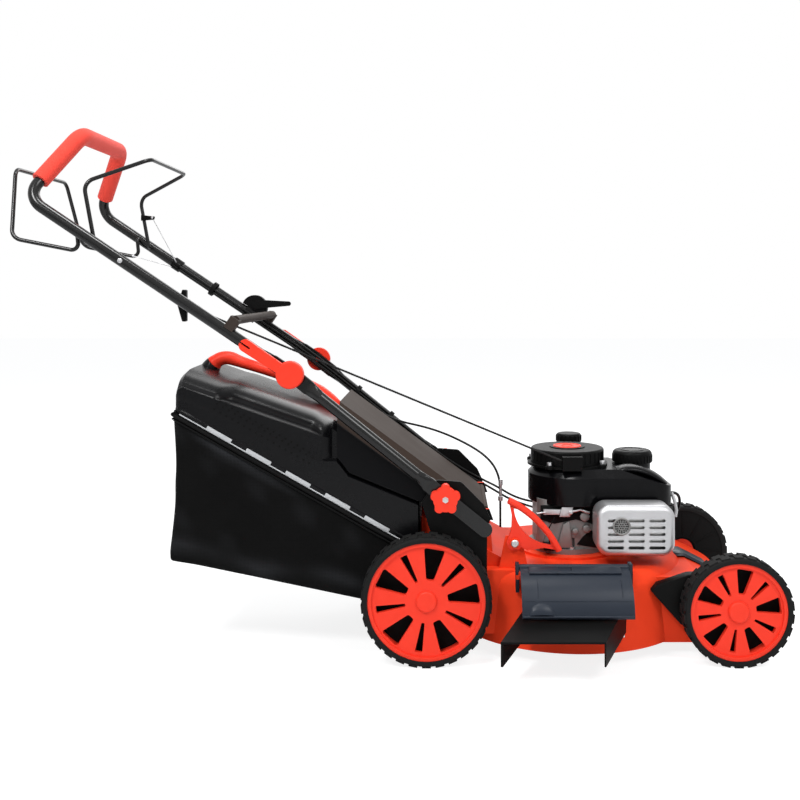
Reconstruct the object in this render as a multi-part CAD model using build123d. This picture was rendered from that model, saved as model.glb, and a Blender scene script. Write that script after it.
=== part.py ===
from build123d import *
import os
from math import cos, radians, sin, sqrt, tan

# Walk-behind petrol rotary mower with a rear grass bag and a side discharge.
# Millimetres. The origin lies on the ground under the blade spindle, on the centre plane.
# +X is forward, +Y is the operator's left and +Z is up. The cutting height is the lowest one.

# Clearances
RUNNING_FIT = 0.05
SEAT_GAP = 0.3
CUT_PAST = 1.0

# Wheels
WHEELBASE = 665.0
TRACK_WIDTH = 560.0
REAR_WHEEL_RADIUS = 140.0
FRONT_WHEEL_RADIUS = 118.0
REAR_TYRE_WIDTH = 52.0
FRONT_TYRE_WIDTH = 46.0
TYRE_DEPTH = 14.0
LUG_HEIGHT = 2.6
LUG_LENGTH = 19.0
LUG_ROOT = 3.0
REAR_LUGS = 30
FRONT_LUGS = 26
TYRE_SHOULDER = 6.0
RIM_WALL = 8.0
RIM_DISC = 11.0
RIM_RECESS = 8.0
SPOKE_PAIRS = 5
WINDOW_INNER_RADIUS = 46.0
WINDOW_EDGE = 13.0
WINDOW_TURN = 27.0
WIDE_WINDOW_SHARE = 0.164
WIDE_WINDOW_TAPER = 0.35
NARROW_WINDOW_SHARE = 0.115
NARROW_WINDOW_TAPER = 0.4
NARROW_WINDOW_INSET = 4.0
WINDOW_CORNER_SHARE = 0.6
HUB_RADIUS = 29.0
HUB_CAP_RADIUS = 23.0
HUB_CAP_HEIGHT = 7.0
HUB_CAP_ROUND = 6.0
HUB_CAP_WALL = 4.0
COVER_THICKNESS = 3.0

# Axles and cutting height
AXLE_RADIUS = 8.0
CROSS_BAR_RADIUS = 9.0
CRANK_ARM = 45.0
CRANK_REST = 30.0
ARM_THICKNESS = 8.0
ARM_RADIUS = 15.0
ARM_CLEARANCE = 4.0
AXLE_END_GAP = 1.0

# Deck
DECK_BOTTOM = 29.0
DECK_TOP = 187.0
DECK_RADIUS = 274.0
DECK_DRAFT = 12.0
DECK_SHOULDER = 34.0
DECK_WALL = 3.0
MOUNT_RING_RADIUS = 120.0
MOUNT_RING_HEIGHT = 6.0
FRONT_APRON_HALF = 195.0
FRONT_APRON_BOTTOM = 27.0
NOSE_X = 375.0
NOSE_TOP = 122.0
NOSE_BREAK_X = 272.0
FRONT_APRON_TOP = 171.0
NOSE_CORNER = 45.0
REAR_APRON_HALF = 200.0
REAR_APRON_BOTTOM = 48.0
REAR_APRON_TAIL = 18.0
TUNNEL_HALF = 165.0
TUNNEL_FRONT_X = -130.0
TUNNEL_END_SETBACK = 12.5
TUNNEL_TOP = 300.0
OUTLET_FRONT_X = -95.0
OUTLET_LENGTH = 188.0
OUTLET_BOTTOM = 58.0
OUTLET_HEIGHT = 60.0
SHAFT_CLEARANCE = 12.0
THROAT_DEPTH = 10.0
BELT_SIDE_CLEARANCE = 6.0
BELT_CLEARANCE = 4.0

# Side discharge
CHUTE_OVERHANG = 118.0
CHUTE_TOP = 124.0
CHUTE_DROP = 28.0
CHUTE_TIP = 46.0
CHUTE_WALL = 4.0
CHUTE_SKEW = 74.0
CHUTE_ROOT = 40.0
CHUTE_FLOOR_RISE = 14.0
CHUTE_SIDE_GAP = 12.0
FLAP_HINGE_INSET = 24.0
FLAP_HINGE_Z = 204.0
FLAP_EDGE_OVERHANG = 46.0
FLAP_EDGE_Z = 119.0
FLAP_BULGE = 20.0
FLAP_WALL = 4.0
FLAP_REAR_OVERHANG = 37.0
FLAP_FRONT_OVERHANG = 10.0
HINGE_PIN_RADIUS = 4.0
HINGE_BARREL_RADIUS = 8.0
HINGE_EAR = 7.0
HINGE_PLAY = 1.0
PIN_PAST = 2.0

# Rotor
CRANK_RADIUS = 12.5
CRANK_BOTTOM = 64.0
BLADE_LENGTH = 510.0
BLADE_WIDTH = 56.0
BLADE_THICKNESS = 4.0
BLADE_WING_LENGTH = 110.0
BLADE_WING_RISE = 16.0
CARRIER_RADIUS = 24.0
CARRIER_HEIGHT = 34.0
BLADE_BOLT_RADIUS = 5.0
BLADE_BOLT_HEAD = 11.0
BLADE_WASHER_RADIUS = 20.0
PULLEY_RADIUS = 26.0
PULLEY_WIDTH = 14.0
BELT_Z = 170.0
BELT_WIDTH = 10.0
BELT_THICKNESS = 6.0
FLYWHEEL_RADIUS = 76.0
FLYWHEEL_HEIGHT = 28.0
FLYWHEEL_GAP = 12.0
FAN_BLADES = 16
FAN_BLADE_HEIGHT = 14.0
FAN_BLADE_THICKNESS = 4.0
FAN_BLADE_SHARE = 0.4
FAN_CIRCLE_SHARE = 0.78
FLYWHEEL_DISC = 16.0
BLADE_BOLT_HEAD_HEIGHT = 9.0
BLADE_BOLT_END_GAP = 5.0
BLADE_WING_ROOT = 12.0
BLADE_WING_LEAN = 8.0

# Engine
FLANGE_RADIUS = 95.0
FLANGE_HEIGHT = 12.0
CASE_REAR = 78.0
CASE_FRONT = 92.0
CASE_HALF = 82.0
CASE_CORNER = 22.0
BLOCK_HEIGHT = 125.0
BARREL_LENGTH = 93.0
BARREL_HALF = 52.0
FIN_COUNT = 7
FIN_OVERHANG = 12.0
FIN_THICKNESS = 4.0
HEAD_LENGTH = 20.0
HEAD_OVERHANG = 4.0
FIN_SHORT = 2.0
COWL_RADIUS = 110.0
COWL_OFFSET_X = 16.0
COWL_FRONT_X = 236.0
COWL_HALF = 102.0
COWL_CORNER = 48.0
COWL_HEIGHT = 70.0
COWL_WALL = 3.0
COWL_SHOULDER = 18.0
COWL_NOSE_DROP = 40.0
COWL_SLOPE_X = 112.0
COWL_FLOOR_BORE = 70.0
COLLAR_GAP = 10.0
RECOIL_RADIUS = 87.0
RECOIL_RING = 95.0
RECOIL_RING_HEIGHT = 5.0
RECOIL_HEIGHT = 40.0
RECOIL_WALL = 4.0
RECOIL_ROUND = 6.0
RECOIL_RIBS = 36
RECOIL_GROOVE_DEPTH = 3.0
RECOIL_GROOVE_WIDTH = 6.0
RECOIL_GROOVE_HEIGHT = 24.0
BADGE_RADIUS = 42.0
BADGE_HEIGHT = 2.0
ROPE_BOX_LENGTH = 46.0
ROPE_BOX_DEPTH = 20.0
ROPE_BOX_HEIGHT = 32.0
ROPE_OUTLET_HEIGHT = 22.4
FUEL_CAP_X = 160.0
FUEL_CAP_Y = 22.0
FUEL_CAP_RADIUS = 47.0
FUEL_CAP_HEIGHT = 28.5
FUEL_CAP_ROUND = 10.0
FUEL_COLLAR_RADIUS = 43.0
FUEL_NECK_DEPTH = 20.0
FUEL_CAP_TOP = 418.0
FUEL_NECK_RADIUS = 32.0
TANK_WALL = 3.0
TANK_GAP = 6.0
OIL_X = 20.0
OIL_Y = 134.0
OIL_TUBE_RADIUS = 15.0
OIL_TUBE_TOP = 420.0
OIL_BRANCH_RADIUS = 13.0
OIL_ELBOW_RISE = 24.0
OIL_ROOT = 10.0
OIL_CAP_ROUND = 6.0
OIL_CAP_RADIUS = 31.0
OIL_CAP_HEIGHT = 22.0
MUFFLER_X = 131.0
MUFFLER_Z = 269.0
GUARD_LENGTH = 174.0
GUARD_HEIGHT = 112.0
GUARD_DEPTH = 68.0
GUARD_BACK_Y = -120.0
GUARD_WALL = 2.5
GUARD_CORNER = 28.0
GUARD_EDGE = 13.0
GUARD_ROWS = 5
GUARD_ROW_PITCH = 15.0
GUARD_ROW_DROP = 6.0
GUARD_SLOT = 36.0
GUARD_SLOT_GAP = 10.0
GUARD_SLOT_HEIGHT = 7.0
MUFFLER_INSET = 12.0
MUFFLER_PLATE = 3.0
EXHAUST_RADIUS = 14.0
EXHAUST_DROP = 3.0
CARB_LENGTH = 60.0
CARB_DEPTH = 38.0
CARB_HEIGHT = 46.0
CARB_X = 126.0
CARB_CORNER = 8.0
CARB_BOWL_RADIUS = 16.0
CARB_BOWL_DEPTH = 20.0
FILTER_LENGTH = 120.0
FILTER_DEPTH = 46.0
FILTER_HEIGHT = 92.0
FILTER_CORNER = 14.0
PLUG_RADIUS = 9.0
PLUG_LENGTH = 30.0
BOOT_RADIUS = 12.0
BOOT_OVERLAP = 10.0
BOOT_LENGTH = 22.0
BOOT_RISE = 14.0
BOLT_RADIUS = 4.0
BOLT_HEAD_RADIUS = 7.0
BOLT_HEAD_HEIGHT = 4.5
BOLT_ROOM = 1.0
BOLT_PAST = 2.0
ENGINE_BOLT_TURNS = (90, 210, 270)
ENGINE_BOLT_CIRCLE = 84.0

# Drive
GEARBOX_REAR = 42.0
GEARBOX_FRONT = 28.0
GEARBOX_HALF = 46.0
GEARBOX_BOTTOM = 43.0
GEARBOX_RISE = 20.0
GEARBOX_CORNER = 12.0
GEAR_NECK_RADIUS = 10.0
GEAR_PULLEY_RADIUS = 24.0

# Handle
KNOB_AHEAD = 40.5
KNOB_Z = 352.0
LOWER_ANGLE = 38.8
LOWER_SPAN = 429.6
LOWER_TAIL = 110.0
UPPER_ANGLE = 33.85
UPPER_SPAN = 691.2
HANDLE_Y = 226.0
TUBE_RADIUS = 12.5
TUBE_WALL = 1.5
FLAT_THICKNESS = 9.0
FLAT_HALF = 16.0
FLAT_LENGTH = 46.0
FLAT_BLEND = 34.0
FLAT_GAP = 0.4
FLAT_PLUG = 6.0
TOP_FORWARD = 85.0
TOP_RISE = 148.0
TOP_INSET = 100.0
HANDLE_BEND = 45.0
GRIP_RADIUS = 19.5
GRIP_START = 50.0
BRACE_S = 166.0
BRACE_LIFT = 30.0
BRACE_RADIUS = 10.0
SADDLE_LENGTH = 22.0
BRACKET_THICKNESS = 5.0
BRACKET_BOSS_RADIUS = 11.0
BRACKET_CORNER = 12.0
BRACKET_BOLT_REAR = 30.0
BRACKET_BOLT_PITCH = 40.0
BRACKET_EDGE = 22.0
BRACKET_SOLE = 20.0
BRACKET_BROW = 40.0
BRACKET_NOSE = [(91.0, -68.0), (98.0, -47.0), (84.0, -16.0)]
BRACKET_TOP_FRONT = (34.0, 34.0)
BRACKET_TOP_REAR = (-22.0, 38.0)
BRACKET_NAPE = (-52.0, -12.0)
BRACKET_TAIL = (-28.0, 74.0)
KNOB_RADIUS = 33.0
KNOB_LOBES = 5
KNOB_LOBE_SHARE = 0.3
KNOB_CORE_SHARE = 0.8
KNOB_BOLT_TIP = 3.0
KNOB_THICKNESS = 19.0
KNOB_BOLT_RADIUS = 4.0
CAM_RADIUS = 30.0
CAM_THICKNESS = 20.0
CAM_ARM = 114.0
CAM_ARM_HALF = 13.5
CAM_ROOT_HALF = 11.0
CAM_SLOT_HALF = 2.0
CAM_SLOT_LENGTH = 24.0
CAM_ROUND = 5.0
CAM_ARM_THICKNESS = 11.0
CAM_BOLT_RADIUS = 4.0

# Bails and controls
BAIL_WIRE = 4.5
BAIL_SIDE_GAP = 3.0
BAIL_PAIR_GAP = 1.0
BAIL_BEND = 14.0
BAIL_PIN_BEND = 7.0
BAIL_PIN_DEPTH = 8.0
DRIVE_PIVOT_S = 567.0
STOP_PIVOT_S = 526.0
BAIL_TOP_HALF = 150.0
DRIVE_BAIL_HEEL = (108.0, -118.0)
DRIVE_BAIL_KNEE = (-39.0, -89.0)
DRIVE_BAIL_TOP = (-58.0, 70.0)
STOP_BAIL_KNEE = (114.0, 34.0)
STOP_BAIL_TOP = (246.0, 92.0)
THROTTLE_S = 214.0
THROTTLE_RADIUS = 33.0
THROTTLE_HALF = 9.0
THROTTLE_BASE = 20.0
THROTTLE_PIVOT = 31.0
THROTTLE_PIN = 4.0
THROTTLE_ROOT = 6.0
THROTTLE_HUB = 12.0
THROTTLE_TIP_FORWARD = 69.0
THROTTLE_TIP_RISE = 79.0
THROTTLE_LEVER_THICKNESS = 5.0
CLAMP_WALL = 4.5
CLAMP_LENGTH = 34.0
GUIDE_S = 253.0
GUIDE_LIFT = -3.0
GUIDE_INSET = 34.0
GUIDE_RING = 10.0
GUIDE_WIRE = 3.0
GRIP_T_HEIGHT = 70.0
GRIP_T_TIP = 9.0
GRIP_T_DEPTH = 17.0
GRIP_T_WIDTH = 18.0
GRIP_T_ROUND = 3.0
GRIP_STEM_OVERLAP = 2.0
GRIP_STEM_LENGTH = 22.0
GRIP_STEM_RADIUS = 6.5
ROPE_RADIUS = 2.5
ROPE_END_GAP = 1.6
CABLE_RADIUS = 2.75
CABLE_TURNS = (6.0, -20.0, 32.0)
CABLE_BEND = 120.0
CABLE_BEND_SHARE = 0.45
STOP_CABLE_HOOK = (560.0, 70.0)
STOP_CABLE_UPPER = (430.0, 110.0)
STOP_CABLE_LOWER = (415.0, 170.0)
STOP_CABLE_BOW = (52.0, 150.0, 44.0)
STOP_CABLE_RUN = [(-150.0, 92.0, 334.0), (-96.0, 96.0, 334.0)]
DRIVE_CABLE_HOOK = (545.0, -40.0)
DRIVE_CABLE_UPPER = (450.0, 112.0)
DRIVE_CABLE_LOWER = (412.0, 190.0)
DRIVE_CABLE_BOW = (-8.0, 150.0, 118.0)
DRIVE_CABLE_RUN = [(-205.0, 70.0, 408.0), (-156.0, 42.0, 318.0), (-158.0, 40.0, 252.0)]
THROTTLE_CABLE_UPPER = 108.0
THROTTLE_CABLE_LOWER = (415.0, 150.0)
THROTTLE_CABLE_BOW = (62.0, 164.0, 32.0)
THROTTLE_CABLE_RUN = [(-120.0, 110.0, 306.0), (60.0, 112.0, 262.0)]

# Height lever
LEVER_PIVOT_X = -139.0
LEVER_PIVOT_Z = 245.0
LEVER_INSET = 76.0
LEVER_THICKNESS = 8.0
LEVER_RIM_WIDTH = 24.0
LEVER_RIM_HEIGHT = 14.0
LEVER_RIM_ROUND = 6.3
LEVER_HUB_RADIUS = 17.0
LEVER_UPPER = (-13.0, 93.0)
LEVER_MIDDLE = (51.8, 47.1)
LEVER_LOWER = (98.0, -17.0)
LEVER_BACK = [(-6.0, 60.0), (-7.0, 35.0), (-14.0, 8.0)]
LEVER_SOLE = [(28.0, -17.0), (65.0, -11.0)]
LEVER_WINDOW = [(-1.7, 75.8), (23.1, 21.4), (80.6, -5.0)]
LEVER_BRACKET_FOOT = (-34.0, 30.0)
LEVER_BRACKET_HEAD = (-20.0, 16.0)
LEVER_BRACKET_RISE = 14.0
LEVER_PIN_PAST = 2.0
LEVER_PIN_HEAD = (11.0, 6.7)
LEVER_PIN_RADIUS = 6.0
LEVER_BRACKET_THICKNESS = 5.0

# Rear flap
REAR_FLAP_ANGLE = 36.3
REAR_FLAP_LENGTH = 372.0
REAR_FLAP_HALF = 200.0
REAR_FLAP_CREST = 138.0
REAR_FLAP_RAISE = 34.0
REAR_FLAP_SKIRT = 72.0
REAR_FLAP_WALL = 4.0
REAR_FLAP_CORNER = 26.0
REAR_FLAP_CORNER_SLOPE = 1.3
REAR_FLAP_AHEAD = 101.5
REAR_FLAP_Z = 289.0
REAR_HINGE_HALF = 150.0
REAR_HINGE_SETBACK = 14.0

# Grass bag
BAG_GAP = 7.0
BAG_LENGTH = 540.0
BAG_HALF = 205.0
BAG_NECK_HALF = 188.0
BAG_NECK_LENGTH = 192.0
BAG_NECK_STEP = 20.0
BAG_SEAM_REAR_Z = 536.0
BAG_SEAM_FRONT_Z = 230.0
BAG_BOTTOM_REAR_Z = 206.0
BAG_BOTTOM_FRONT_Z = 108.0
BAG_FRONT_FOOT = 64.0
BAG_FRONT_Z = 200.0
BAG_WALL = 3.0
BAG_LID_GAP = 6.0
BAG_CROWN_REAR_Z = 622.0
BAG_CROWN_SLOPE = 0.35
BAG_CROWN_INSET = 29.0
BAG_CROWN_FRONT_Z = 408.0
BAG_TAIL_Z = 590.0
BAG_SHOULDER = 34.0
BAG_SHOULDER_RUN = 41.0
BAG_CREST_RUN = 102.0
BAG_FRAME_WIRE = 3.0
BAG_FRAME_TOP = 356.0
BAG_FRAME_HALF = 174.0
BAG_FRAME_BEND = 20.0
BAG_HANDLE_HALF = 17.0
BAG_HANDLE_BAR = 20.0
BAG_HANDLE_GAP = 24.0
BAG_HANDLE_FRONT = 330.0
BAG_HANDLE_POST = 62.0
BAG_HANDLE_SETBACK = 2.0
BAG_HANDLE_BACK = 8.0
BAG_HANDLE_HUMP = (16.0, 4.0)
BAG_HANDLE_NOSE = (10.0, 12.0)
BAG_HANDLE_FLARE = 14.0
BAG_HANDLE_ROUND = 4.0

# Places worked out from the driving sizes
WHEEL_FACE = TRACK_WIDTH / 2
CRANK_DX = CRANK_ARM * cos(radians(CRANK_REST))
CRANK_DZ = CRANK_ARM * sin(radians(CRANK_REST))
REAR_AXLE_X = -WHEELBASE / 2
REAR_AXLE_Z = REAR_WHEEL_RADIUS
FRONT_AXLE_X = WHEELBASE / 2
FRONT_AXLE_Z = FRONT_WHEEL_RADIUS
DECK_TOP_RADIUS = DECK_RADIUS - DECK_DRAFT
CHUTE_REACH = DECK_RADIUS + CHUTE_OVERHANG
FLAP_HINGE_Y = -DECK_TOP_RADIUS + FLAP_HINGE_INSET
FLAP_EDGE_Y = -DECK_RADIUS - FLAP_EDGE_OVERHANG
LEVER_Y = -DECK_TOP_RADIUS + LEVER_INSET
TUNNEL_END_X = REAR_AXLE_X - TUNNEL_END_SETBACK
REAR_FLAP_X = REAR_AXLE_X + REAR_FLAP_AHEAD
KNOB_X = REAR_AXLE_X + KNOB_AHEAD
REAR_PIVOT_X = REAR_AXLE_X + CRANK_DX
REAR_PIVOT_Z = REAR_AXLE_Z - CRANK_DZ
FRONT_PIVOT_X = FRONT_AXLE_X - CRANK_DX
FRONT_PIVOT_Z = FRONT_AXLE_Z - CRANK_DZ
ENGINE_BASE = DECK_TOP + MOUNT_RING_HEIGHT
BLOCK_TOP = ENGINE_BASE + BLOCK_HEIGHT
COWL_TOP = BLOCK_TOP + COWL_HEIGHT
RECOIL_TOP = COWL_TOP + RECOIL_HEIGHT
BLADE_TOP = CRANK_BOTTOM - SEAT_GAP - DECK_WALL
UPPER_Y = HANDLE_Y + FLAT_THICKNESS + FLAT_GAP
BRACKET_OUTER = HANDLE_Y - FLAT_THICKNESS / 2 - SEAT_GAP
DRIVE_BAIL_Y = UPPER_Y - TUBE_RADIUS - BAIL_SIDE_GAP - BAIL_WIRE
STOP_BAIL_Y = DRIVE_BAIL_Y - 2 * BAIL_WIRE - BAIL_PAIR_GAP
BAG_MOUTH_X = TUNNEL_END_X - BAG_GAP
BAG_REAR_X = BAG_MOUTH_X - BAG_LENGTH


def box(x, y, z):
    """Box from three (low, high) ranges."""
    size = [high - low for low, high in (x, y, z)]
    middle = [(high + low) / 2 for low, high in (x, y, z)]
    return Pos(*middle) * Box(*size)


def upright(radius, z0, z1, x=0.0, y=0.0):
    """Cylinder along Z."""
    return Pos(x, y, (z0 + z1) / 2) * Cylinder(radius, z1 - z0)


def lateral(radius, y0, y1, x=0.0, z=0.0):
    """Cylinder along Y."""
    return Pos(x, (y0 + y1) / 2, z) * Rot(90, 0, 0) * Cylinder(radius, abs(y1 - y0))


def rod(start, end, radius):
    """Round bar between two points."""
    a = Vector(*start)
    b = Vector(*end)
    return extrude(Plane(origin=a, z_dir=b - a) * Circle(radius), amount=(b - a).length)


def prism_x(points, x0, x1):
    """Prism along X of an outline given as (y, z)."""
    outline = Polyline(*[(x0, y, z) for y, z in points], close=True)
    return extrude(make_face(outline), amount=x1 - x0, dir=(1, 0, 0))


def prism_y(points, y0, y1):
    """Prism along Y of an outline given as (x, z)."""
    outline = Polyline(*[(x, y0, z) for x, z in points], close=True)
    return extrude(make_face(outline), amount=y1 - y0, dir=(0, 1, 0))


def prism_z(points, z0, z1):
    """Prism along Z of an outline given as (x, y)."""
    outline = Polyline(*[(x, y, z0) for x, y in points], close=True)
    return extrude(make_face(outline), amount=z1 - z0, dir=(0, 0, 1))


def link_plate(start, end, radius, y0, y1, end_radius=None):
    """Flat bar with round ends between two (x, z) points."""
    end_radius = end_radius or radius
    dx = end[0] - start[0]
    dz = end[1] - start[1]
    length = sqrt(dx * dx + dz * dz)
    nx = -dz / length
    nz = dx / length
    corners = [
        (start[0] + nx * radius, start[1] + nz * radius),
        (end[0] + nx * end_radius, end[1] + nz * end_radius),
        (end[0] - nx * end_radius, end[1] - nz * end_radius),
        (start[0] - nx * radius, start[1] - nz * radius),
    ]
    eyes = [lateral(radius, y0, y1, *start), lateral(end_radius, y0, y1, *end)]
    return prism_y(corners, y0, y1) + eyes


def bar_along(points, radii, radius, hollow=0.0):
    """Round bar or tube swept along straight runs and tangent arcs."""
    path = FilletPolyline(*points, radius=radii)
    profile = Circle(radius)
    if hollow:
        profile = profile - Circle(hollow)
    return sweep(Plane(origin=path @ 0, z_dir=path % 0) * profile, path=path)


def both_sides(right):
    """A right-hand solid and its mirror image on the left."""
    return [right, mirror(right, about=Plane.XZ)]


def on_line(start, angle, distance, lift=0.0):
    """The (x, z) point on a line that rises to the rear, and a height square to it."""
    turn = radians(angle)
    x = start[0] - distance * cos(turn) + lift * sin(turn)
    z = start[1] + distance * sin(turn) + lift * cos(turn)
    return (x, z)


def line_plane(point, angle, y):
    """Plane on a rising line: X runs up the line, Z stands square above it."""
    turn = radians(angle)
    return Plane(
        origin=(point[0], y, point[1]),
        x_dir=(-cos(turn), 0, sin(turn)),
        z_dir=(sin(turn), 0, cos(turn)),
    )


KNOB = (KNOB_X, KNOB_Z)
FOLD = on_line(KNOB, LOWER_ANGLE, LOWER_SPAN)
ELBOW = on_line(FOLD, UPPER_ANGLE, UPPER_SPAN)


def tyre(radius, width, lugs):
    """Tyre with two staggered rows of flat lugs."""
    half = width / 2
    carcass = lateral(radius - LUG_HEIGHT, -half, half)
    carcass = fillet(carcass.edges().filter_by(GeomType.CIRCLE), TYRE_SHOULDER)
    block = LUG_HEIGHT + LUG_ROOT
    row_width = half - TYRE_SHOULDER / 2
    treads = []
    for row, side in enumerate((-1, 1)):
        for index in range(lugs):
            turn = 180 + (index + row / 2) * 360 / lugs
            place = Pos(0, side * row_width / 2, radius - block / 2)
            treads.append(Rot(0, turn, 0) * place * Box(LUG_LENGTH, row_width, block))
    return carcass + treads - lateral(radius - TYRE_DEPTH, -width, width)


def window(turn, inner, outer, inner_half, outer_half, y0, y1):
    """Cutter for one tapered window of a rim."""
    corners = [(inner, -inner_half), (outer, -outer_half), (outer, outer_half), (inner, inner_half)]
    cutter = prism_y(corners, y0, y1)
    cutter = fillet(cutter.edges().filter_by(Axis.Y), WINDOW_CORNER_SHARE * inner_half)
    return Rot(0, turn, 0) * cutter


def rim(radius, width):
    """Rim with paired spokes, hub and hub cap. The outer face looks to -Y."""
    half = width / 2
    seat = radius - TYRE_DEPTH - SEAT_GAP
    face = -half + RIM_RECESS
    barrel = lateral(seat, -half + TYRE_SHOULDER / 2, half - TYRE_SHOULDER / 2)
    barrel -= lateral(seat - RIM_WALL, -width, width)
    disc = lateral(seat - RIM_WALL / 2, face, face + RIM_DISC)
    pitch = 360 / SPOKE_PAIRS
    outer = seat - WINDOW_EDGE
    inner = WINDOW_INNER_RADIUS * seat / (REAR_WHEEL_RADIUS - TYRE_DEPTH)
    for index in range(SPOKE_PAIRS):
        turn = WINDOW_TURN + index * pitch
        narrow = outer * sin(radians(pitch * NARROW_WINDOW_SHARE / 2))
        wide = outer * sin(radians(pitch * WIDE_WINDOW_SHARE))
        reach = (face - CUT_PAST, face + RIM_DISC + CUT_PAST)
        disc -= window(turn, inner, outer - NARROW_WINDOW_INSET, NARROW_WINDOW_TAPER * narrow, narrow, *reach)
        disc -= window(turn + pitch / 2, inner, outer, WIDE_WINDOW_TAPER * wide, wide, *reach)
    hub = lateral(HUB_RADIUS, face, half - TYRE_SHOULDER)
    cap = lateral(HUB_CAP_RADIUS, face - HUB_CAP_HEIGHT, face + HUB_CAP_WALL)
    cap = fillet(cap.edges().sort_by(Axis.Y)[0], HUB_CAP_ROUND)
    return barrel + disc + hub + cap - lateral(AXLE_RADIUS + RUNNING_FIT, face + HUB_CAP_WALL, width)


def wheel_cover(radius, width):
    """Dark inner cover between the rim's barrel and hub."""
    half = width / 2
    outer = radius - TYRE_DEPTH - RIM_WALL - 2 * SEAT_GAP
    back = half - TYRE_SHOULDER
    cover = lateral(outer, back - COVER_THICKNESS, back)
    return cover - lateral(HUB_RADIUS + SEAT_GAP, -width, width)


def wheels():
    """Four wheels, each with tyre, rim and inner cover."""
    nodes = {}
    sizes = {
        "front": (FRONT_WHEEL_RADIUS, FRONT_TYRE_WIDTH, FRONT_LUGS, FRONT_AXLE_X, FRONT_AXLE_Z),
        "rear": (REAR_WHEEL_RADIUS, REAR_TYRE_WIDTH, REAR_LUGS, REAR_AXLE_X, REAR_AXLE_Z),
    }
    for end, (radius, width, lugs, x, z) in sizes.items():
        pieces = {
            "tyre": tyre(radius, width, lugs),
            "rim": rim(radius, width),
            "wheel_cover": wheel_cover(radius, width),
        }
        for name, piece in pieces.items():
            right = Pos(x, -WHEEL_FACE + width / 2, z) * piece
            nodes[f"{end}_right_{name}"] = right
            nodes[f"{end}_left_{name}"] = mirror(right, about=Plane.XZ)
    return nodes


def axle_bar(pivot, axle, apron_half, stub_end):
    """Cranked axle: cross bar in the apron, an arm at each end and a stub for each wheel."""
    inner = apron_half + ARM_CLEARANCE
    outer = inner + ARM_THICKNESS
    bar = lateral(CROSS_BAR_RADIUS, -outer, outer, *pivot)
    for side in (-1, 1):
        low, high = sorted((side * inner, side * outer))
        bar += link_plate(pivot, axle, ARM_RADIUS, low, high)
        if stub_end:
            bar += lateral(AXLE_RADIUS, *sorted((side * inner, side * stub_end)), *axle)
    return bar


def axles_and_drive():
    """Front and rear axles, gearbox, drive shaft and belt."""
    front_end = WHEEL_FACE - RIM_RECESS - HUB_CAP_WALL - AXLE_END_GAP
    front = axle_bar(
        (FRONT_PIVOT_X, FRONT_PIVOT_Z), (FRONT_AXLE_X, FRONT_AXLE_Z), FRONT_APRON_HALF, front_end
    )
    axle = (REAR_AXLE_X, REAR_AXLE_Z)
    rear = axle_bar((REAR_PIVOT_X, REAR_PIVOT_Z), axle, REAR_APRON_HALF, 0)
    rear -= lateral(AXLE_RADIUS + RUNNING_FIT, -WHEEL_FACE, WHEEL_FACE, *axle)
    shaft = lateral(AXLE_RADIUS, -front_end, front_end, *axle)
    case = box(
        (REAR_AXLE_X - GEARBOX_REAR, REAR_AXLE_X + GEARBOX_FRONT),
        (-GEARBOX_HALF, GEARBOX_HALF),
        (REAR_AXLE_Z - GEARBOX_BOTTOM, REAR_AXLE_Z + GEARBOX_RISE),
    )
    case = fillet(case.edges().filter_by(Axis.Y), GEARBOX_CORNER)
    case -= lateral(AXLE_RADIUS + RUNNING_FIT, -WHEEL_FACE, WHEEL_FACE, *axle)
    pulley_low = BELT_Z - PULLEY_WIDTH / 2
    neck_low = REAR_AXLE_Z + GEARBOX_RISE - CUT_PAST
    neck = upright(GEAR_NECK_RADIUS, neck_low, pulley_low + CUT_PAST, REAR_AXLE_X)
    case += neck
    case += upright(GEAR_PULLEY_RADIUS, pulley_low, pulley_low + PULLEY_WIDTH, REAR_AXLE_X)
    return {
        "front_axle": front,
        "rear_axle": rear,
        "drive_shaft": shaft,
        "gearbox": case,
        "drive_belt": belt(),
    }


def belt():
    """Flat loop round the engine pulley and the gearbox pulley."""
    inner_a = PULLEY_RADIUS + SEAT_GAP
    inner_b = GEAR_PULLEY_RADIUS + SEAT_GAP
    low = BELT_Z - BELT_WIDTH / 2
    high = BELT_Z + BELT_WIDTH / 2

    def loop(extra):
        ra = inner_a + extra
        rb = inner_b + extra
        sides = [(0, -ra), (0, ra), (REAR_AXLE_X, rb), (REAR_AXLE_X, -rb)]
        return prism_z(sides, low, high) + [
            upright(ra, low, high),
            upright(rb, low, high, REAR_AXLE_X),
        ]

    return loop(BELT_THICKNESS) - loop(0)


def pan(inset, lower=0.0):
    """Round cutting pan, drawn in by a wall."""
    outline = [
        (0, DECK_BOTTOM - lower),
        (DECK_RADIUS - inset, DECK_BOTTOM - lower),
        (DECK_TOP_RADIUS - inset, DECK_TOP - inset),
        (0, DECK_TOP - inset),
    ]
    face = make_face(Polyline(*[(r, 0, z) for r, z in outline], close=True))
    solid = revolve(face, axis=Axis.Z)
    top = solid.edges().filter_by(GeomType.CIRCLE).sort_by(Axis.Z)[-1]
    return fillet(top, DECK_SHOULDER - inset)


def front_apron(inset, lower=0.0):
    """Front end of the deck between the front wheels, with a sloping nose."""
    half = FRONT_APRON_HALF - inset
    outline = [
        (0, FRONT_APRON_BOTTOM - lower),
        (NOSE_X - inset, FRONT_APRON_BOTTOM - lower),
        (NOSE_X - inset, NOSE_TOP - inset),
        (NOSE_BREAK_X - inset, FRONT_APRON_TOP - inset),
        (0, FRONT_APRON_TOP - inset),
    ]
    solid = prism_y(outline, -half, half)
    corners = solid.edges().filter_by(Axis.Z).group_by(Axis.X)[-1]
    return fillet(corners, NOSE_CORNER - inset)


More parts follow.
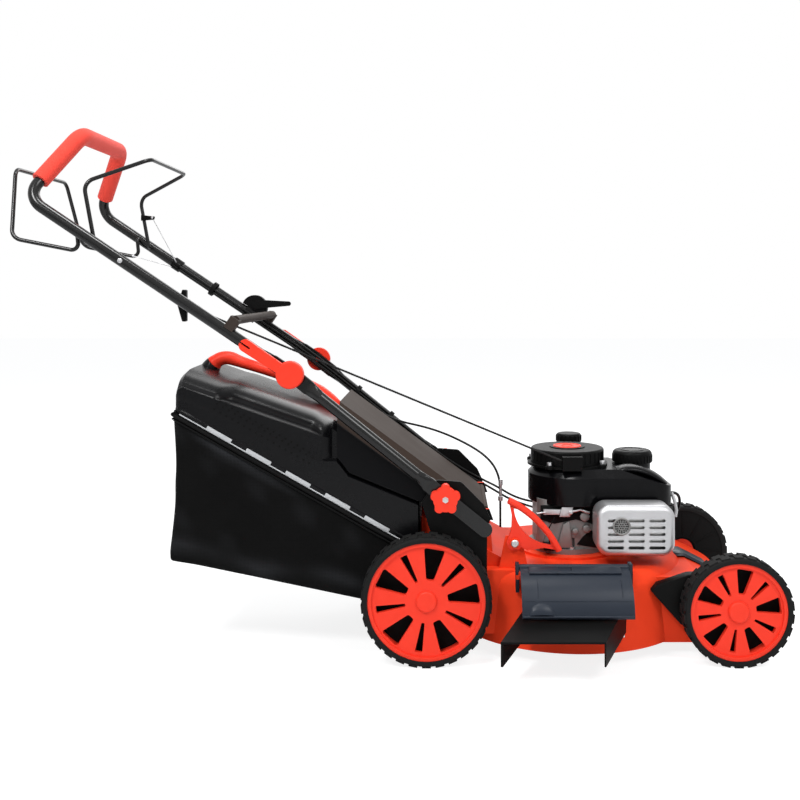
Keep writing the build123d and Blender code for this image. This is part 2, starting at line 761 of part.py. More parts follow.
def rear_apron(inset, lower=0.0, tail=0.0):
    """Rear end of the deck between the rear wheels, open to the rear."""
    half = REAR_APRON_HALF - inset
    return box(
        (REAR_PIVOT_X - REAR_APRON_TAIL - tail, 0),
        (-half, half),
        (REAR_APRON_BOTTOM - lower, DECK_TOP - inset),
    )


def tunnel_top(x):
    """Height of the tunnel's sloping top."""
    rise = (TUNNEL_TOP - DECK_TOP) / (TUNNEL_FRONT_X - TUNNEL_END_X)
    return DECK_TOP + rise * (TUNNEL_FRONT_X - x)


def tunnel():
    """Raised rear tunnel to the bag."""
    floor = DECK_TOP - DECK_WALL
    outline = [
        (TUNNEL_FRONT_X, floor),
        (TUNNEL_FRONT_X, DECK_TOP),
        (TUNNEL_END_X, TUNNEL_TOP),
        (TUNNEL_END_X, floor),
    ]
    return prism_y(outline, -TUNNEL_HALF, TUNNEL_HALF)


def tunnel_hollow():
    """Space inside the tunnel, open to the rear."""
    front = TUNNEL_FRONT_X - 4 * DECK_WALL
    back = TUNNEL_END_X - CUT_PAST
    half = TUNNEL_HALF - DECK_WALL
    outline = [
        (front, DECK_TOP),
        (front, tunnel_top(front) - DECK_WALL),
        (back, tunnel_top(back) - DECK_WALL),
        (back, DECK_TOP),
    ]
    return prism_y(outline, -half, half)


def deck():
    """Pressed deck: pan, front apron, rear apron and rear tunnel in one shell."""
    outer = pan(0)
    shell = outer + front_apron(0) + rear_apron(0) + tunnel()
    shell += upright(MOUNT_RING_RADIUS, DECK_TOP - CUT_PAST, ENGINE_BASE)
    bays = front_apron(DECK_WALL, CUT_PAST) + rear_apron(DECK_WALL, CUT_PAST, DECK_WALL)
    shell -= pan(DECK_WALL, CUT_PAST)
    shell -= bays - outer
    shell -= tunnel_hollow()
    throat = upright(DECK_TOP_RADIUS - DECK_SHOULDER, DECK_TOP - THROAT_DEPTH, DECK_TOP + CUT_PAST)
    half = TUNNEL_HALF - DECK_WALL
    rear_half = (-DECK_RADIUS, TUNNEL_FRONT_X - 3 * DECK_WALL)
    shell -= throat & box(rear_half, (-half, half), (0, DECK_TOP + CUT_PAST))
    shell -= upright(CRANK_RADIUS + SHAFT_CLEARANCE, DECK_TOP - THROAT_DEPTH, ENGINE_BASE + CUT_PAST)
    bore = CROSS_BAR_RADIUS + RUNNING_FIT
    shell -= lateral(bore, -WHEEL_FACE, WHEEL_FACE, FRONT_PIVOT_X, FRONT_PIVOT_Z)
    shell -= lateral(bore, -WHEEL_FACE, WHEEL_FACE, REAR_PIVOT_X, REAR_PIVOT_Z)
    belt_half = GEAR_PULLEY_RADIUS + BELT_THICKNESS + BELT_SIDE_CLEARANCE
    belt_gap = BELT_WIDTH / 2 + BELT_CLEARANCE
    shell -= box(
        (-DECK_RADIUS, -DECK_TOP_RADIUS + 2 * DECK_SHOULDER),
        (-belt_half, belt_half),
        (BELT_Z - belt_gap, BELT_Z + belt_gap),
    )
    shell -= box(
        (OUTLET_FRONT_X, OUTLET_FRONT_X + OUTLET_LENGTH),
        (-DECK_RADIUS, -DECK_RADIUS / 2),
        (OUTLET_BOTTOM, OUTLET_BOTTOM + OUTLET_HEIGHT),
    )
    return shell + flap_ears() + rear_ears()


def flap_span():
    """X range of the side flap."""
    rear = OUTLET_FRONT_X - FLAP_REAR_OVERHANG
    front = OUTLET_FRONT_X + OUTLET_LENGTH + FLAP_FRONT_OVERHANG
    return (rear, front)


def flap_ears():
    """Two ears on the deck's side for the side flap's pin."""
    low, high = flap_span()
    ears = []
    rear = (low - HINGE_EAR - HINGE_PLAY, low - HINGE_PLAY)
    front = (high + HINGE_PLAY, high + HINGE_EAR + HINGE_PLAY)
    for x0, x1 in (rear, front):
        ear = box(
            (x0, x1),
            (FLAP_HINGE_Y - HINGE_BARREL_RADIUS, FLAP_HINGE_Y + 2 * HINGE_BARREL_RADIUS),
            (DECK_TOP - DECK_SHOULDER, FLAP_HINGE_Z + HINGE_BARREL_RADIUS),
        )
        ear -= pan(DECK_WALL)
        hole = Pos((x0 + x1) / 2, FLAP_HINGE_Y, FLAP_HINGE_Z) * Rot(0, 90, 0)
        ears.append(ear - hole * Cylinder(HINGE_PIN_RADIUS + RUNNING_FIT, 3 * HINGE_EAR))
    return ears


def rear_hinge():
    """The (x, z) place of the rear flap's pin."""
    lift = REAR_FLAP_RAISE - HINGE_BARREL_RADIUS / 2
    return on_line((REAR_FLAP_X, REAR_FLAP_Z), REAR_FLAP_ANGLE, -REAR_HINGE_SETBACK, lift)


def rear_ears():
    """Two ears on the tunnel for the rear flap's pin."""
    x, z = rear_hinge()
    ears = []
    for side in (-1, 1):
        inner = REAR_HINGE_HALF + HINGE_PLAY
        low, high = sorted((side * inner, side * (inner + HINGE_EAR)))
        foot_x = x + 2 * HINGE_BARREL_RADIUS
        foot_z = tunnel_top(foot_x) - DECK_WALL / 2
        back_x = x - HINGE_BARREL_RADIUS
        back_z = tunnel_top(back_x) - DECK_WALL / 2
        tip = z + HINGE_BARREL_RADIUS
        outline = [(foot_x, foot_z), (x + HINGE_BARREL_RADIUS, tip), (back_x, tip), (back_x, back_z)]
        ear = prism_y(outline, low, high)
        ears.append(ear - lateral(HINGE_PIN_RADIUS + RUNNING_FIT, -WHEEL_FACE, WHEEL_FACE, x, z))
    return ears


def side_chute():
    """Deflector under the side flap, skewed to the rear as it goes out."""
    front = OUTLET_FRONT_X - CHUTE_SIDE_GAP
    back = OUTLET_FRONT_X + OUTLET_LENGTH + CHUTE_SIDE_GAP
    root = -DECK_RADIUS + CHUTE_ROOT
    slope = CHUTE_DROP / (CHUTE_REACH - DECK_RADIUS)
    top_root = CHUTE_TOP + CHUTE_ROOT * slope

    def wedge(inset, past):
        plan = [
            (front + inset, root),
            (back - inset, root),
            (back - inset - CHUTE_SKEW, -CHUTE_REACH - past),
            (front + inset - CHUTE_SKEW, -CHUTE_REACH - past),
        ]
        fall = past * DECK_BOTTOM
        outline = [
            (root, top_root - inset),
            (-CHUTE_REACH - past, CHUTE_TOP - CHUTE_DROP - inset - past * slope),
            (-CHUTE_REACH - past, CHUTE_TIP - fall),
            (root, OUTLET_BOTTOM + CHUTE_FLOOR_RISE - fall),
        ]
        return prism_z(plan, 0, DECK_TOP) & prism_x(outline, -DECK_RADIUS, DECK_RADIUS)

    keep_out = pan(-SEAT_GAP, CUT_PAST)
    return wedge(0, 0) - wedge(CHUTE_WALL, CUT_PAST) - keep_out


def side_flap():
    """Curved flap over the side discharge, with its pin."""
    low, high = flap_span()
    hinge = (FLAP_HINGE_Y, FLAP_HINGE_Z)
    edge = (FLAP_EDGE_Y, FLAP_EDGE_Z)
    span_y = edge[0] - hinge[0]
    span_z = edge[1] - hinge[1]
    length = sqrt(span_y * span_y + span_z * span_z)
    out = (span_z / length, -span_y / length)
    middle = ((hinge[0] + edge[0]) / 2, (hinge[1] + edge[1]) / 2)

    def point(base, lift):
        return (low, base[0] + out[0] * lift, base[1] + out[1] * lift)

    half = FLAP_WALL / 2
    outline = [
        ThreePointArc(point(hinge, half), point(middle, FLAP_BULGE + half), point(edge, half)),
        Line(point(edge, half), point(edge, -half)),
        ThreePointArc(point(edge, -half), point(middle, FLAP_BULGE - half), point(hinge, -half)),
        Line(point(hinge, -half), point(hinge, half)),
    ]
    sheet = extrude(make_face(outline), amount=high - low, dir=(1, 0, 0))
    centre = Pos((low + high) / 2, *hinge) * Rot(0, 90, 0)
    barrel = centre * Cylinder(HINGE_BARREL_RADIUS - HINGE_PLAY, high - low)
    pin = centre * Cylinder(HINGE_PIN_RADIUS, high - low + 2 * (HINGE_EAR + PIN_PAST))
    return sheet + barrel + pin


def flap_plane(distance):
    """Plane square to the rear flap's slope: X runs to the right, Y stands above the slope."""
    x, z = on_line((REAR_FLAP_X, REAR_FLAP_Z), REAR_FLAP_ANGLE, distance)
    turn = radians(REAR_FLAP_ANGLE)
    return Plane(origin=(x, 0, z), x_dir=(0, -1, 0), z_dir=(-cos(turn), 0, sin(turn)))


def flap_section(inset, skirt):
    """Cross-section of the rear flap: raised middle, shoulders and side skirts."""
    half = REAR_FLAP_HALF - inset
    crest = REAR_FLAP_CREST - inset / 2
    top = REAR_FLAP_RAISE - inset
    outline = [
        (-half, -skirt),
        (-half, -inset),
        (-crest, top),
        (crest, top),
        (half, -inset),
        (half, -skirt),
    ]
    return make_face(Polyline(*outline, close=True))


def skirt_line(drop=0.0):
    """Lower edge of the rear flap's skirts, from the tail to the hinge, as (x, z)."""
    tail_x, tail_z = on_line((REAR_FLAP_X, REAR_FLAP_Z), REAR_FLAP_ANGLE, REAR_FLAP_LENGTH)
    corner = REAR_FLAP_CORNER
    return [
        (tail_x, tail_z - REAR_FLAP_SKIRT - drop),
        (tail_x + corner, tail_z - REAR_FLAP_SKIRT - REAR_FLAP_CORNER_SLOPE * corner - drop),
        (REAR_FLAP_X - corner, REAR_FLAP_Z + corner / 2 - drop),
    ]


def rear_flap():
    """Lid over the bag's mouth with its hinge tongue, barrel and pin."""
    deep = 3 * REAR_FLAP_SKIRT
    skin = flap_section(0, deep) - flap_section(REAR_FLAP_WALL, deep + CUT_PAST)
    lid = extrude(flap_plane(0) * skin, amount=REAR_FLAP_LENGTH + deep)
    edge = skirt_line()
    sky = TUNNEL_TOP + REAR_FLAP_LENGTH
    keep = [(edge[0][0], sky)] + edge + [(REAR_FLAP_X, REAR_FLAP_Z - REAR_FLAP_CORNER), (0, 0), (0, sky)]
    lid &= prism_y(keep, -REAR_FLAP_HALF, REAR_FLAP_HALF)
    barrel_half = REAR_HINGE_HALF - 2 * HINGE_BARREL_RADIUS - HINGE_EAR
    tongue = Pos(0, REAR_FLAP_RAISE - REAR_FLAP_WALL / 2) * Rectangle(2 * barrel_half, REAR_FLAP_WALL)
    lid += extrude(flap_plane(-REAR_HINGE_SETBACK) * tongue, amount=REAR_HINGE_SETBACK + REAR_FLAP_WALL / 2)
    hinge = rear_hinge()
    barrel = lateral(HINGE_BARREL_RADIUS, -barrel_half, barrel_half, *hinge)
    reach = REAR_HINGE_HALF + HINGE_EAR + 2 * PIN_PAST
    return lid + barrel + lateral(HINGE_PIN_RADIUS, -reach, reach, *hinge)


def rotor():
    """Crankshaft with its pulley, flywheel, blade, carrier and blade bolt."""
    pulley_low = BELT_Z - PULLEY_WIDTH / 2
    fly_low = BLOCK_TOP + COWL_WALL + FLYWHEEL_GAP
    shaft = upright(CRANK_RADIUS, CRANK_BOTTOM, fly_low + FLYWHEEL_HEIGHT)
    shaft += upright(PULLEY_RADIUS, pulley_low, pulley_low + PULLEY_WIDTH)
    shaft -= upright(BLADE_BOLT_RADIUS + RUNNING_FIT, CRANK_BOTTOM - CUT_PAST, CRANK_BOTTOM + CARRIER_HEIGHT)
    wheel = upright(FLYWHEEL_RADIUS, fly_low, fly_low + FLYWHEEL_DISC)
    fins = []
    for index in range(FAN_BLADES):
        fin = Pos(FLYWHEEL_RADIUS * FAN_CIRCLE_SHARE, 0, fly_low + FLYWHEEL_HEIGHT - FAN_BLADE_HEIGHT / 2)
        vane = Box(FLYWHEEL_RADIUS * FAN_BLADE_SHARE, FAN_BLADE_THICKNESS, FAN_BLADE_HEIGHT)
        fins.append(Rot(0, 0, index * 360 / FAN_BLADES) * fin * vane)
    wheel = wheel + fins - upright(CRANK_RADIUS + RUNNING_FIT, 0, COWL_TOP)
    carrier = upright(CARRIER_RADIUS, BLADE_TOP, BLADE_TOP + CARRIER_HEIGHT)
    carrier_top = BLADE_TOP + CARRIER_HEIGHT + CUT_PAST
    carrier -= upright(CRANK_RADIUS + RUNNING_FIT, CRANK_BOTTOM - SEAT_GAP, carrier_top)
    bolt_bore = upright(BLADE_BOLT_RADIUS + RUNNING_FIT, 0, DECK_TOP)
    blade_low = BLADE_TOP - BLADE_THICKNESS
    washer_low = blade_low - BLADE_THICKNESS
    bolt = upright(BLADE_WASHER_RADIUS, washer_low, blade_low)
    head = extrude(RegularPolygon(BLADE_BOLT_HEAD, 6), amount=BLADE_BOLT_HEAD_HEIGHT)
    bolt += Pos(0, 0, washer_low - BLADE_BOLT_HEAD_HEIGHT) * head
    bolt += upright(BLADE_BOLT_RADIUS, washer_low, CRANK_BOTTOM + CARRIER_HEIGHT - BLADE_BOLT_END_GAP)
    return {
        "crankshaft": shaft,
        "flywheel": wheel,
        "blade": blade(blade_low) - bolt_bore,
        "blade_mount": Compound(children=[carrier - bolt_bore, bolt]),
    }


def blade(low):
    """Flat cutting blade with a lifting wing at the trailing edge of each end."""
    half = BLADE_LENGTH / 2
    bar = box((-half, half), (-BLADE_WIDTH / 2, BLADE_WIDTH / 2), (low, low + BLADE_THICKNESS))
    wing = prism_x(
        [
            (BLADE_WIDTH / 2 - BLADE_WING_ROOT, low),
            (BLADE_WIDTH / 2, low),
            (BLADE_WIDTH / 2 + BLADE_WING_LEAN, low + BLADE_WING_RISE),
            (BLADE_WIDTH / 2 + BLADE_WING_LEAN - BLADE_THICKNESS, low + BLADE_WING_RISE),
            (BLADE_WIDTH / 2 - BLADE_WING_LEAN, low + BLADE_THICKNESS),
        ],
        half - BLADE_WING_LENGTH,
        half,
    )
    return bar + wing + Rot(0, 0, 180) * wing


def engine_block():
    """Crankcase, finned cylinder, head and oil filler tube."""
    body = upright(FLANGE_RADIUS, ENGINE_BASE, ENGINE_BASE + FLANGE_HEIGHT)
    flange_top = ENGINE_BASE + FLANGE_HEIGHT
    case = box((-CASE_REAR, CASE_FRONT), (-CASE_HALF, CASE_HALF), (flange_top - CUT_PAST, BLOCK_TOP))
    body += fillet(case.edges().filter_by(Axis.Z), CASE_CORNER)
    low = ENGINE_BASE + 2 * FLANGE_HEIGHT
    high = BLOCK_TOP - FLANGE_HEIGHT
    barrel_end = CASE_FRONT + BARREL_LENGTH
    body += box((CASE_FRONT - CUT_PAST, barrel_end), (-BARREL_HALF, BARREL_HALF), (low, high))
    fin_half = BARREL_HALF + FIN_OVERHANG
    pitch = BARREL_LENGTH / FIN_COUNT
    for index in range(FIN_COUNT):
        x = CASE_FRONT + (index + 1) * pitch - pitch / 2
        body += box(
            (x, x + FIN_THICKNESS),
            (-fin_half, fin_half),
            (low - FIN_OVERHANG + FIN_SHORT, high + FIN_OVERHANG - FIN_SHORT),
        )
    body += box(
        (barrel_end - CUT_PAST, barrel_end + HEAD_LENGTH),
        (-BARREL_HALF - HEAD_OVERHANG, BARREL_HALF + HEAD_OVERHANG),
        (low - HEAD_OVERHANG, high + HEAD_OVERHANG),
    )
    elbow = low + OIL_ELBOW_RISE
    body += rod((OIL_X, CASE_HALF - OIL_ROOT, low), (OIL_X, OIL_Y, elbow), OIL_BRANCH_RADIUS)
    body += upright(OIL_TUBE_RADIUS, elbow - OIL_ROOT, OIL_TUBE_TOP, OIL_X, OIL_Y)
    for place in engine_bolt_places():
        body -= upright(BOLT_RADIUS + RUNNING_FIT, ENGINE_BASE - CUT_PAST, flange_top + CUT_PAST, *place)
        body -= upright(BOLT_HEAD_RADIUS + BOLT_ROOM, flange_top, flange_top + 2 * FLANGE_HEIGHT, *place)
    return body - upright(CRANK_RADIUS + RUNNING_FIT, 0, BLOCK_TOP + CUT_PAST)


def engine_bolt_places():
    """Three bolts that hold the engine to the deck."""
    places = []
    for turn in ENGINE_BOLT_TURNS:
        angle = radians(turn)
        places.append((ENGINE_BOLT_CIRCLE * cos(angle), ENGINE_BOLT_CIRCLE * sin(angle)))
    return places


def cowl_plan(inset):
    """Plan of the blower cowl: round over the flywheel, square at the front."""
    length = COWL_FRONT_X - inset - COWL_OFFSET_X
    width = 2 * (COWL_HALF - inset)
    middle = COWL_OFFSET_X + length / 2
    front = Pos(middle, 0) * RectangleRounded(length, width, COWL_CORNER - inset)
    fill = Pos(COWL_OFFSET_X + length / 4, 0) * Rectangle(length / 2, width)
    return Pos(COWL_OFFSET_X, 0) * Circle(COWL_RADIUS - inset) + front + fill


def cowl_solid(inset, low, high):
    """Block of the cowl with a sloping shoulder and a nose that falls to the front."""
    brow = high - COWL_SHOULDER
    solid = extrude(Pos(0, 0, low) * cowl_plan(inset), amount=brow - low)
    brim = [Pos(0, 0, brow) * cowl_plan(inset), Pos(0, 0, high) * cowl_plan(inset + COWL_SHOULDER)]
    solid += loft(brim, ruled=True)
    nose = COWL_FRONT_X + CUT_PAST
    slope = prism_y(
        [
            (COWL_SLOPE_X, high + CUT_PAST),
            (COWL_SLOPE_X, high),
            (nose, high - COWL_NOSE_DROP),
            (nose, high + CUT_PAST),
        ],
        -2 * COWL_HALF,
        2 * COWL_HALF,
    )
    return solid - slope


def engine_cowl():
    """Blower cowl with a floor that sits on the block."""
    shell = cowl_solid(0, BLOCK_TOP, COWL_TOP)
    collar_top = FUEL_CAP_TOP - FUEL_CAP_HEIGHT - SEAT_GAP
    shell += upright(FUEL_COLLAR_RADIUS, COWL_TOP - COWL_NOSE_DROP, collar_top, FUEL_CAP_X, FUEL_CAP_Y)
    shell -= upright(RECOIL_RADIUS + COLLAR_GAP, COWL_TOP, 2 * COWL_TOP)
    shell -= cowl_solid(COWL_WALL, BLOCK_TOP + COWL_WALL, COWL_TOP - COWL_WALL)
    shell -= upright(COWL_FLOOR_BORE, BLOCK_TOP - CUT_PAST, BLOCK_TOP + COWL_WALL + CUT_PAST)
    shell -= upright(RECOIL_RADIUS - 2 * RECOIL_WALL, COWL_TOP - 2 * COWL_WALL, COWL_TOP + CUT_PAST)
    neck = FUEL_NECK_RADIUS + 2 * SEAT_GAP
    return shell - upright(neck, BLOCK_TOP + 2 * COWL_WALL, FUEL_CAP_TOP, FUEL_CAP_X, FUEL_CAP_Y)


def recoil_housing():
    """Ribbed recoil starter housing with a plain badge and a rope outlet box."""
    body = upright(RECOIL_RING, COWL_TOP, COWL_TOP + RECOIL_RING_HEIGHT)
    drum = upright(RECOIL_RADIUS, COWL_TOP, RECOIL_TOP)
    drum = fillet(drum.edges().sort_by(Axis.Z)[-1], RECOIL_ROUND)
    grooves = []
    for index in range(RECOIL_RIBS):
        turn = 360 / RECOIL_RIBS * index
        groove = Pos(RECOIL_RADIUS, 0, COWL_TOP + RECOIL_HEIGHT / 2 + RECOIL_RING_HEIGHT / 2)
        cut = Box(RECOIL_GROOVE_DEPTH, RECOIL_GROOVE_WIDTH, RECOIL_GROOVE_HEIGHT)
        grooves.append(Rot(0, 0, turn) * groove * cut)
    body += drum - grooves
    body += upright(BADGE_RADIUS, RECOIL_TOP - CUT_PAST, RECOIL_TOP + BADGE_HEIGHT)
    half = ROPE_BOX_LENGTH / 2
    body += box(
        (-half, half),
        (-RECOIL_RADIUS - ROPE_BOX_DEPTH, -RECOIL_RADIUS + ROPE_BOX_DEPTH),
        (COWL_TOP, COWL_TOP + ROPE_BOX_HEIGHT),
    )
    inner = RECOIL_RADIUS - RECOIL_WALL - RECOIL_GROOVE_DEPTH / 2
    hollow = upright(inner, COWL_TOP - CUT_PAST, RECOIL_TOP - RECOIL_WALL)
    return body - hollow


def rope_end():
    """Where the rope meets the recoil's outlet box."""
    return (
        -ROPE_BOX_LENGTH / 2 - ROPE_END_GAP,
        -RECOIL_RADIUS - ROPE_BOX_DEPTH / 2,
        COWL_TOP + ROPE_OUTLET_HEIGHT,
    )


def fuel_tank():
    """Tank in the cowl's nose, with its filler neck."""
    inset = COWL_WALL + SEAT_GAP
    floor = BLOCK_TOP + COWL_WALL

    def cell(extra, low):
        solid = cowl_solid(inset + extra, low, COWL_TOP - inset - extra)
        rear = (-DECK_RADIUS, COWL_SLOPE_X + TANK_GAP + extra)
        return solid - box(rear, (-DECK_RADIUS, DECK_RADIUS), (0, 2 * COWL_TOP))

    neck_top = FUEL_CAP_TOP - FUEL_CAP_HEIGHT + FUEL_NECK_DEPTH
    root = floor + FUEL_NECK_DEPTH
    body = cell(0, floor) + upright(FUEL_NECK_RADIUS, root, neck_top, FUEL_CAP_X, FUEL_CAP_Y)
    body -= cell(TANK_WALL, floor + TANK_WALL)
    return body - upright(FUEL_NECK_RADIUS - TANK_WALL, root, neck_top + CUT_PAST, FUEL_CAP_X, FUEL_CAP_Y)


def fuel_cap():
    """Screw cap on the filler neck."""
    low = FUEL_CAP_TOP - FUEL_CAP_HEIGHT
    cap = upright(FUEL_CAP_RADIUS, low, FUEL_CAP_TOP, FUEL_CAP_X, FUEL_CAP_Y)
    cap = fillet(cap.edges().sort_by(Axis.Z)[-1], FUEL_CAP_ROUND)
    inner = FUEL_NECK_RADIUS + SEAT_GAP
    return cap - upright(inner, low - CUT_PAST, low + FUEL_NECK_DEPTH + SEAT_GAP, FUEL_CAP_X, FUEL_CAP_Y)


def oil_cap():
    """Screw cap on the oil filler tube, with its dipstick plug."""
    cap = upright(OIL_CAP_RADIUS, OIL_TUBE_TOP + SEAT_GAP, OIL_TUBE_TOP + OIL_CAP_HEIGHT, OIL_X, OIL_Y)
    return fillet(cap.edges().sort_by(Axis.Z)[-1], OIL_CAP_ROUND)


def guard_box(inset):
    """Block of the muffler guard with round front corners."""
    half = GUARD_LENGTH / 2 - inset
    rise = GUARD_HEIGHT / 2 - inset
    solid = box(
        (MUFFLER_X - half, MUFFLER_X + half),
        (GUARD_BACK_Y - GUARD_DEPTH + inset, GUARD_BACK_Y + (inset and CUT_PAST)),
        (MUFFLER_Z - rise, MUFFLER_Z + rise),
    )
    solid = fillet(solid.edges().filter_by(Axis.Y), GUARD_CORNER - inset)
    return fillet(solid.edges().group_by(Axis.Y)[0], GUARD_EDGE - inset)


def muffler_guard():
    """Slotted guard over the muffler."""
    shell = guard_box(0) - guard_box(GUARD_WALL)
    front = GUARD_BACK_Y - GUARD_DEPTH
    column = GUARD_SLOT + GUARD_SLOT_GAP
    half = GUARD_SLOT / 2 - GUARD_SLOT_HEIGHT / 2
    lowest = MUFFLER_Z - GUARD_ROW_DROP - (GUARD_ROWS - 1) / 2 * GUARD_ROW_PITCH
    cuts = []
    for col in (-1, 0, 1):
        x = MUFFLER_X + col * column
        for index in range(GUARD_ROWS):
            z = lowest + index * GUARD_ROW_PITCH
            ends = ((x - half, z), (x + half, z))
            cuts.append(link_plate(*ends, GUARD_SLOT_HEIGHT / 2, front - CUT_PAST, front + 2 * GUARD_WALL))
    return shell - cuts


def muffler():
    """Muffler can on its back plate, with the exhaust stub to the cylinder."""
    half = GUARD_LENGTH / 2
    rise = GUARD_HEIGHT / 2
    can = box(
        (MUFFLER_X - half + MUFFLER_INSET, MUFFLER_X + half - MUFFLER_INSET),
        (GUARD_BACK_Y - GUARD_DEPTH + MUFFLER_INSET, GUARD_BACK_Y),
        (MUFFLER_Z - rise + MUFFLER_INSET, MUFFLER_Z + rise - MUFFLER_INSET),
    )
    can = fillet(can.edges().filter_by(Axis.Y), GUARD_CORNER - MUFFLER_INSET / 2)
    can = fillet(can.edges().group_by(Axis.Y)[0], GUARD_EDGE)
    plate = box(
        (MUFFLER_X - half, MUFFLER_X + half),
        (GUARD_BACK_Y, GUARD_BACK_Y + MUFFLER_PLATE),
        (MUFFLER_Z - rise, MUFFLER_Z + rise),
    )
    can += fillet(plate.edges().filter_by(Axis.Y), GUARD_CORNER)
    end = -BARREL_HALF - FIN_OVERHANG
    return can + lateral(EXHAUST_RADIUS, GUARD_BACK_Y, end - SEAT_GAP, MUFFLER_X, MUFFLER_Z - EXHAUST_DROP)


def intake():
    """Carburettor on the cylinder's left side and the air filter box on it."""
    start = BARREL_HALF + FIN_OVERHANG + SEAT_GAP
    middle = (ENGINE_BASE + BLOCK_TOP) / 2
    half = CARB_LENGTH / 2
    body = box(
        (CARB_X - half, CARB_X + half),
        (start, start + CARB_DEPTH),
        (middle - CARB_HEIGHT / 2, middle + CARB_HEIGHT / 2),
    )
    body = fillet(body.edges().filter_by(Axis.Y), CARB_CORNER)
    bowl_low = middle - CARB_HEIGHT / 2 - CARB_BOWL_DEPTH
    body += upright(CARB_BOWL_RADIUS, bowl_low, middle, CARB_X, start + CARB_DEPTH / 2)
    filter_low = start + CARB_DEPTH + SEAT_GAP
    cover = box(
        (CARB_X - FILTER_LENGTH / 2, CARB_X + FILTER_LENGTH / 2),
        (filter_low, filter_low + FILTER_DEPTH),
        (middle - FILTER_HEIGHT / 2, middle + FILTER_HEIGHT / 2),
    )
    cover = fillet(cover.edges().group_by(Axis.Y)[-1], FILTER_CORNER)
    return {"carburettor": body, "air_filter": cover}


def spark_plug():
    """Spark plug and its boot on the cylinder head."""
    start = CASE_FRONT + BARREL_LENGTH + HEAD_LENGTH
    z = (ENGINE_BASE + BLOCK_TOP) / 2
    end = start + PLUG_LENGTH
    plug = rod((start, 0, z), (end, 0, z), PLUG_RADIUS)
    return plug + rod((end - BOOT_OVERLAP, 0, z), (end + BOOT_LENGTH, 0, z + BOOT_RISE), BOOT_RADIUS)


def fasteners():
    """Engine bolts and handle bracket bolts."""
    bolts = []
    for x, y in engine_bolt_places():
        head = ENGINE_BASE + FLANGE_HEIGHT
        bolt = upright(BOLT_HEAD_RADIUS, head, head + BOLT_HEAD_HEIGHT, x, y)
        bolts.append(bolt + upright(BOLT_RADIUS, DECK_TOP + CUT_PAST, head + CUT_PAST, x, y))
    for x, z in bracket_bolt_places():
        face = BRACKET_OUTER
        head = lateral(BOLT_HEAD_RADIUS, -face - BOLT_HEAD_HEIGHT, -face, x, z)
        shank = lateral(BOLT_RADIUS, -face - CUT_PAST, -REAR_APRON_HALF + DECK_WALL + BOLT_PAST, x, z)
        bolts += both_sides(head + shank)
    return Compound(children=bolts)


def bracket_bolt_places():
    """Two bolts that hold each handle bracket to the rear apron."""
    z = DECK_TOP - 2 * BRACKET_BOSS_RADIUS
    rear = REAR_PIVOT_X + BRACKET_BOLT_REAR
    return [(rear, z), (rear + BRACKET_BOLT_PITCH, z)]


def handle_brackets():
    """Black plates that carry the lower handle on the rear apron."""
    z = bracket_bolt_places()[0][1]
    rear = bracket_bolt_places()[0][0] - BRACKET_EDGE
    front = bracket_bolt_places()[1][0] + BRACKET_EDGE
    outline = [(rear, z - BRACKET_SOLE), (front, z - BRACKET_SOLE), (front, z + BRACKET_BROW)]
    for dx, dz in (*BRACKET_NOSE, BRACKET_TOP_FRONT, BRACKET_TOP_REAR, BRACKET_NAPE):
        outline.append((KNOB_X + dx, KNOB_Z + dz))
    outline.append((rear + BRACKET_TAIL[0], z + BRACKET_TAIL[1]))
    plate = prism_y(outline, -BRACKET_OUTER, -BRACKET_OUTER + BRACKET_THICKNESS)
    plate = fillet(plate.edges().filter_by(Axis.Y), BRACKET_CORNER)
    for x, bolt_z in bracket_bolt_places():
        plate += lateral(BRACKET_BOSS_RADIUS, -BRACKET_OUTER + CUT_PAST, -REAR_APRON_HALF, x, bolt_z)
        plate -= lateral(BOLT_RADIUS + RUNNING_FIT, -WHEEL_FACE, -REAR_APRON_HALF + CUT_PAST, x, bolt_z)
    plate -= lateral(KNOB_BOLT_RADIUS + RUNNING_FIT, -WHEEL_FACE, -REAR_APRON_HALF, *KNOB)
    return Compound(children=both_sides(plate))


def cut_bracket_holes(shell):
    """Holes in the deck's rear apron for the bracket bolts."""
    for x, z in bracket_bolt_places():
        shell -= lateral(BOLT_RADIUS + RUNNING_FIT, -WHEEL_FACE, WHEEL_FACE, x, z)
    for x, y in engine_bolt_places():
        shell -= upright(BOLT_RADIUS + RUNNING_FIT, DECK_TOP, ENGINE_BASE + CUT_PAST, x, y)
    return shell


def flat_end(start, angle, y, toward):
    """Blend from a round tube to a flat end, along the line away from a joint."""
    turn = radians(angle)
    flat = on_line(start, angle, toward * FLAT_LENGTH)
    tube = on_line(start, angle, toward * (FLAT_LENGTH + FLAT_BLEND))

    def section(point, profile):
        plane = Plane(
            origin=(point[0], y, point[1]),
            x_dir=(sin(turn), 0, cos(turn)),
            z_dir=(-cos(turn), 0, sin(turn)),
        )
        return plane * profile

    slot = section(flat, SlotOverall(2 * FLAT_HALF, FLAT_THICKNESS))
    return loft([slot, section(tube, Circle(TUBE_RADIUS))])


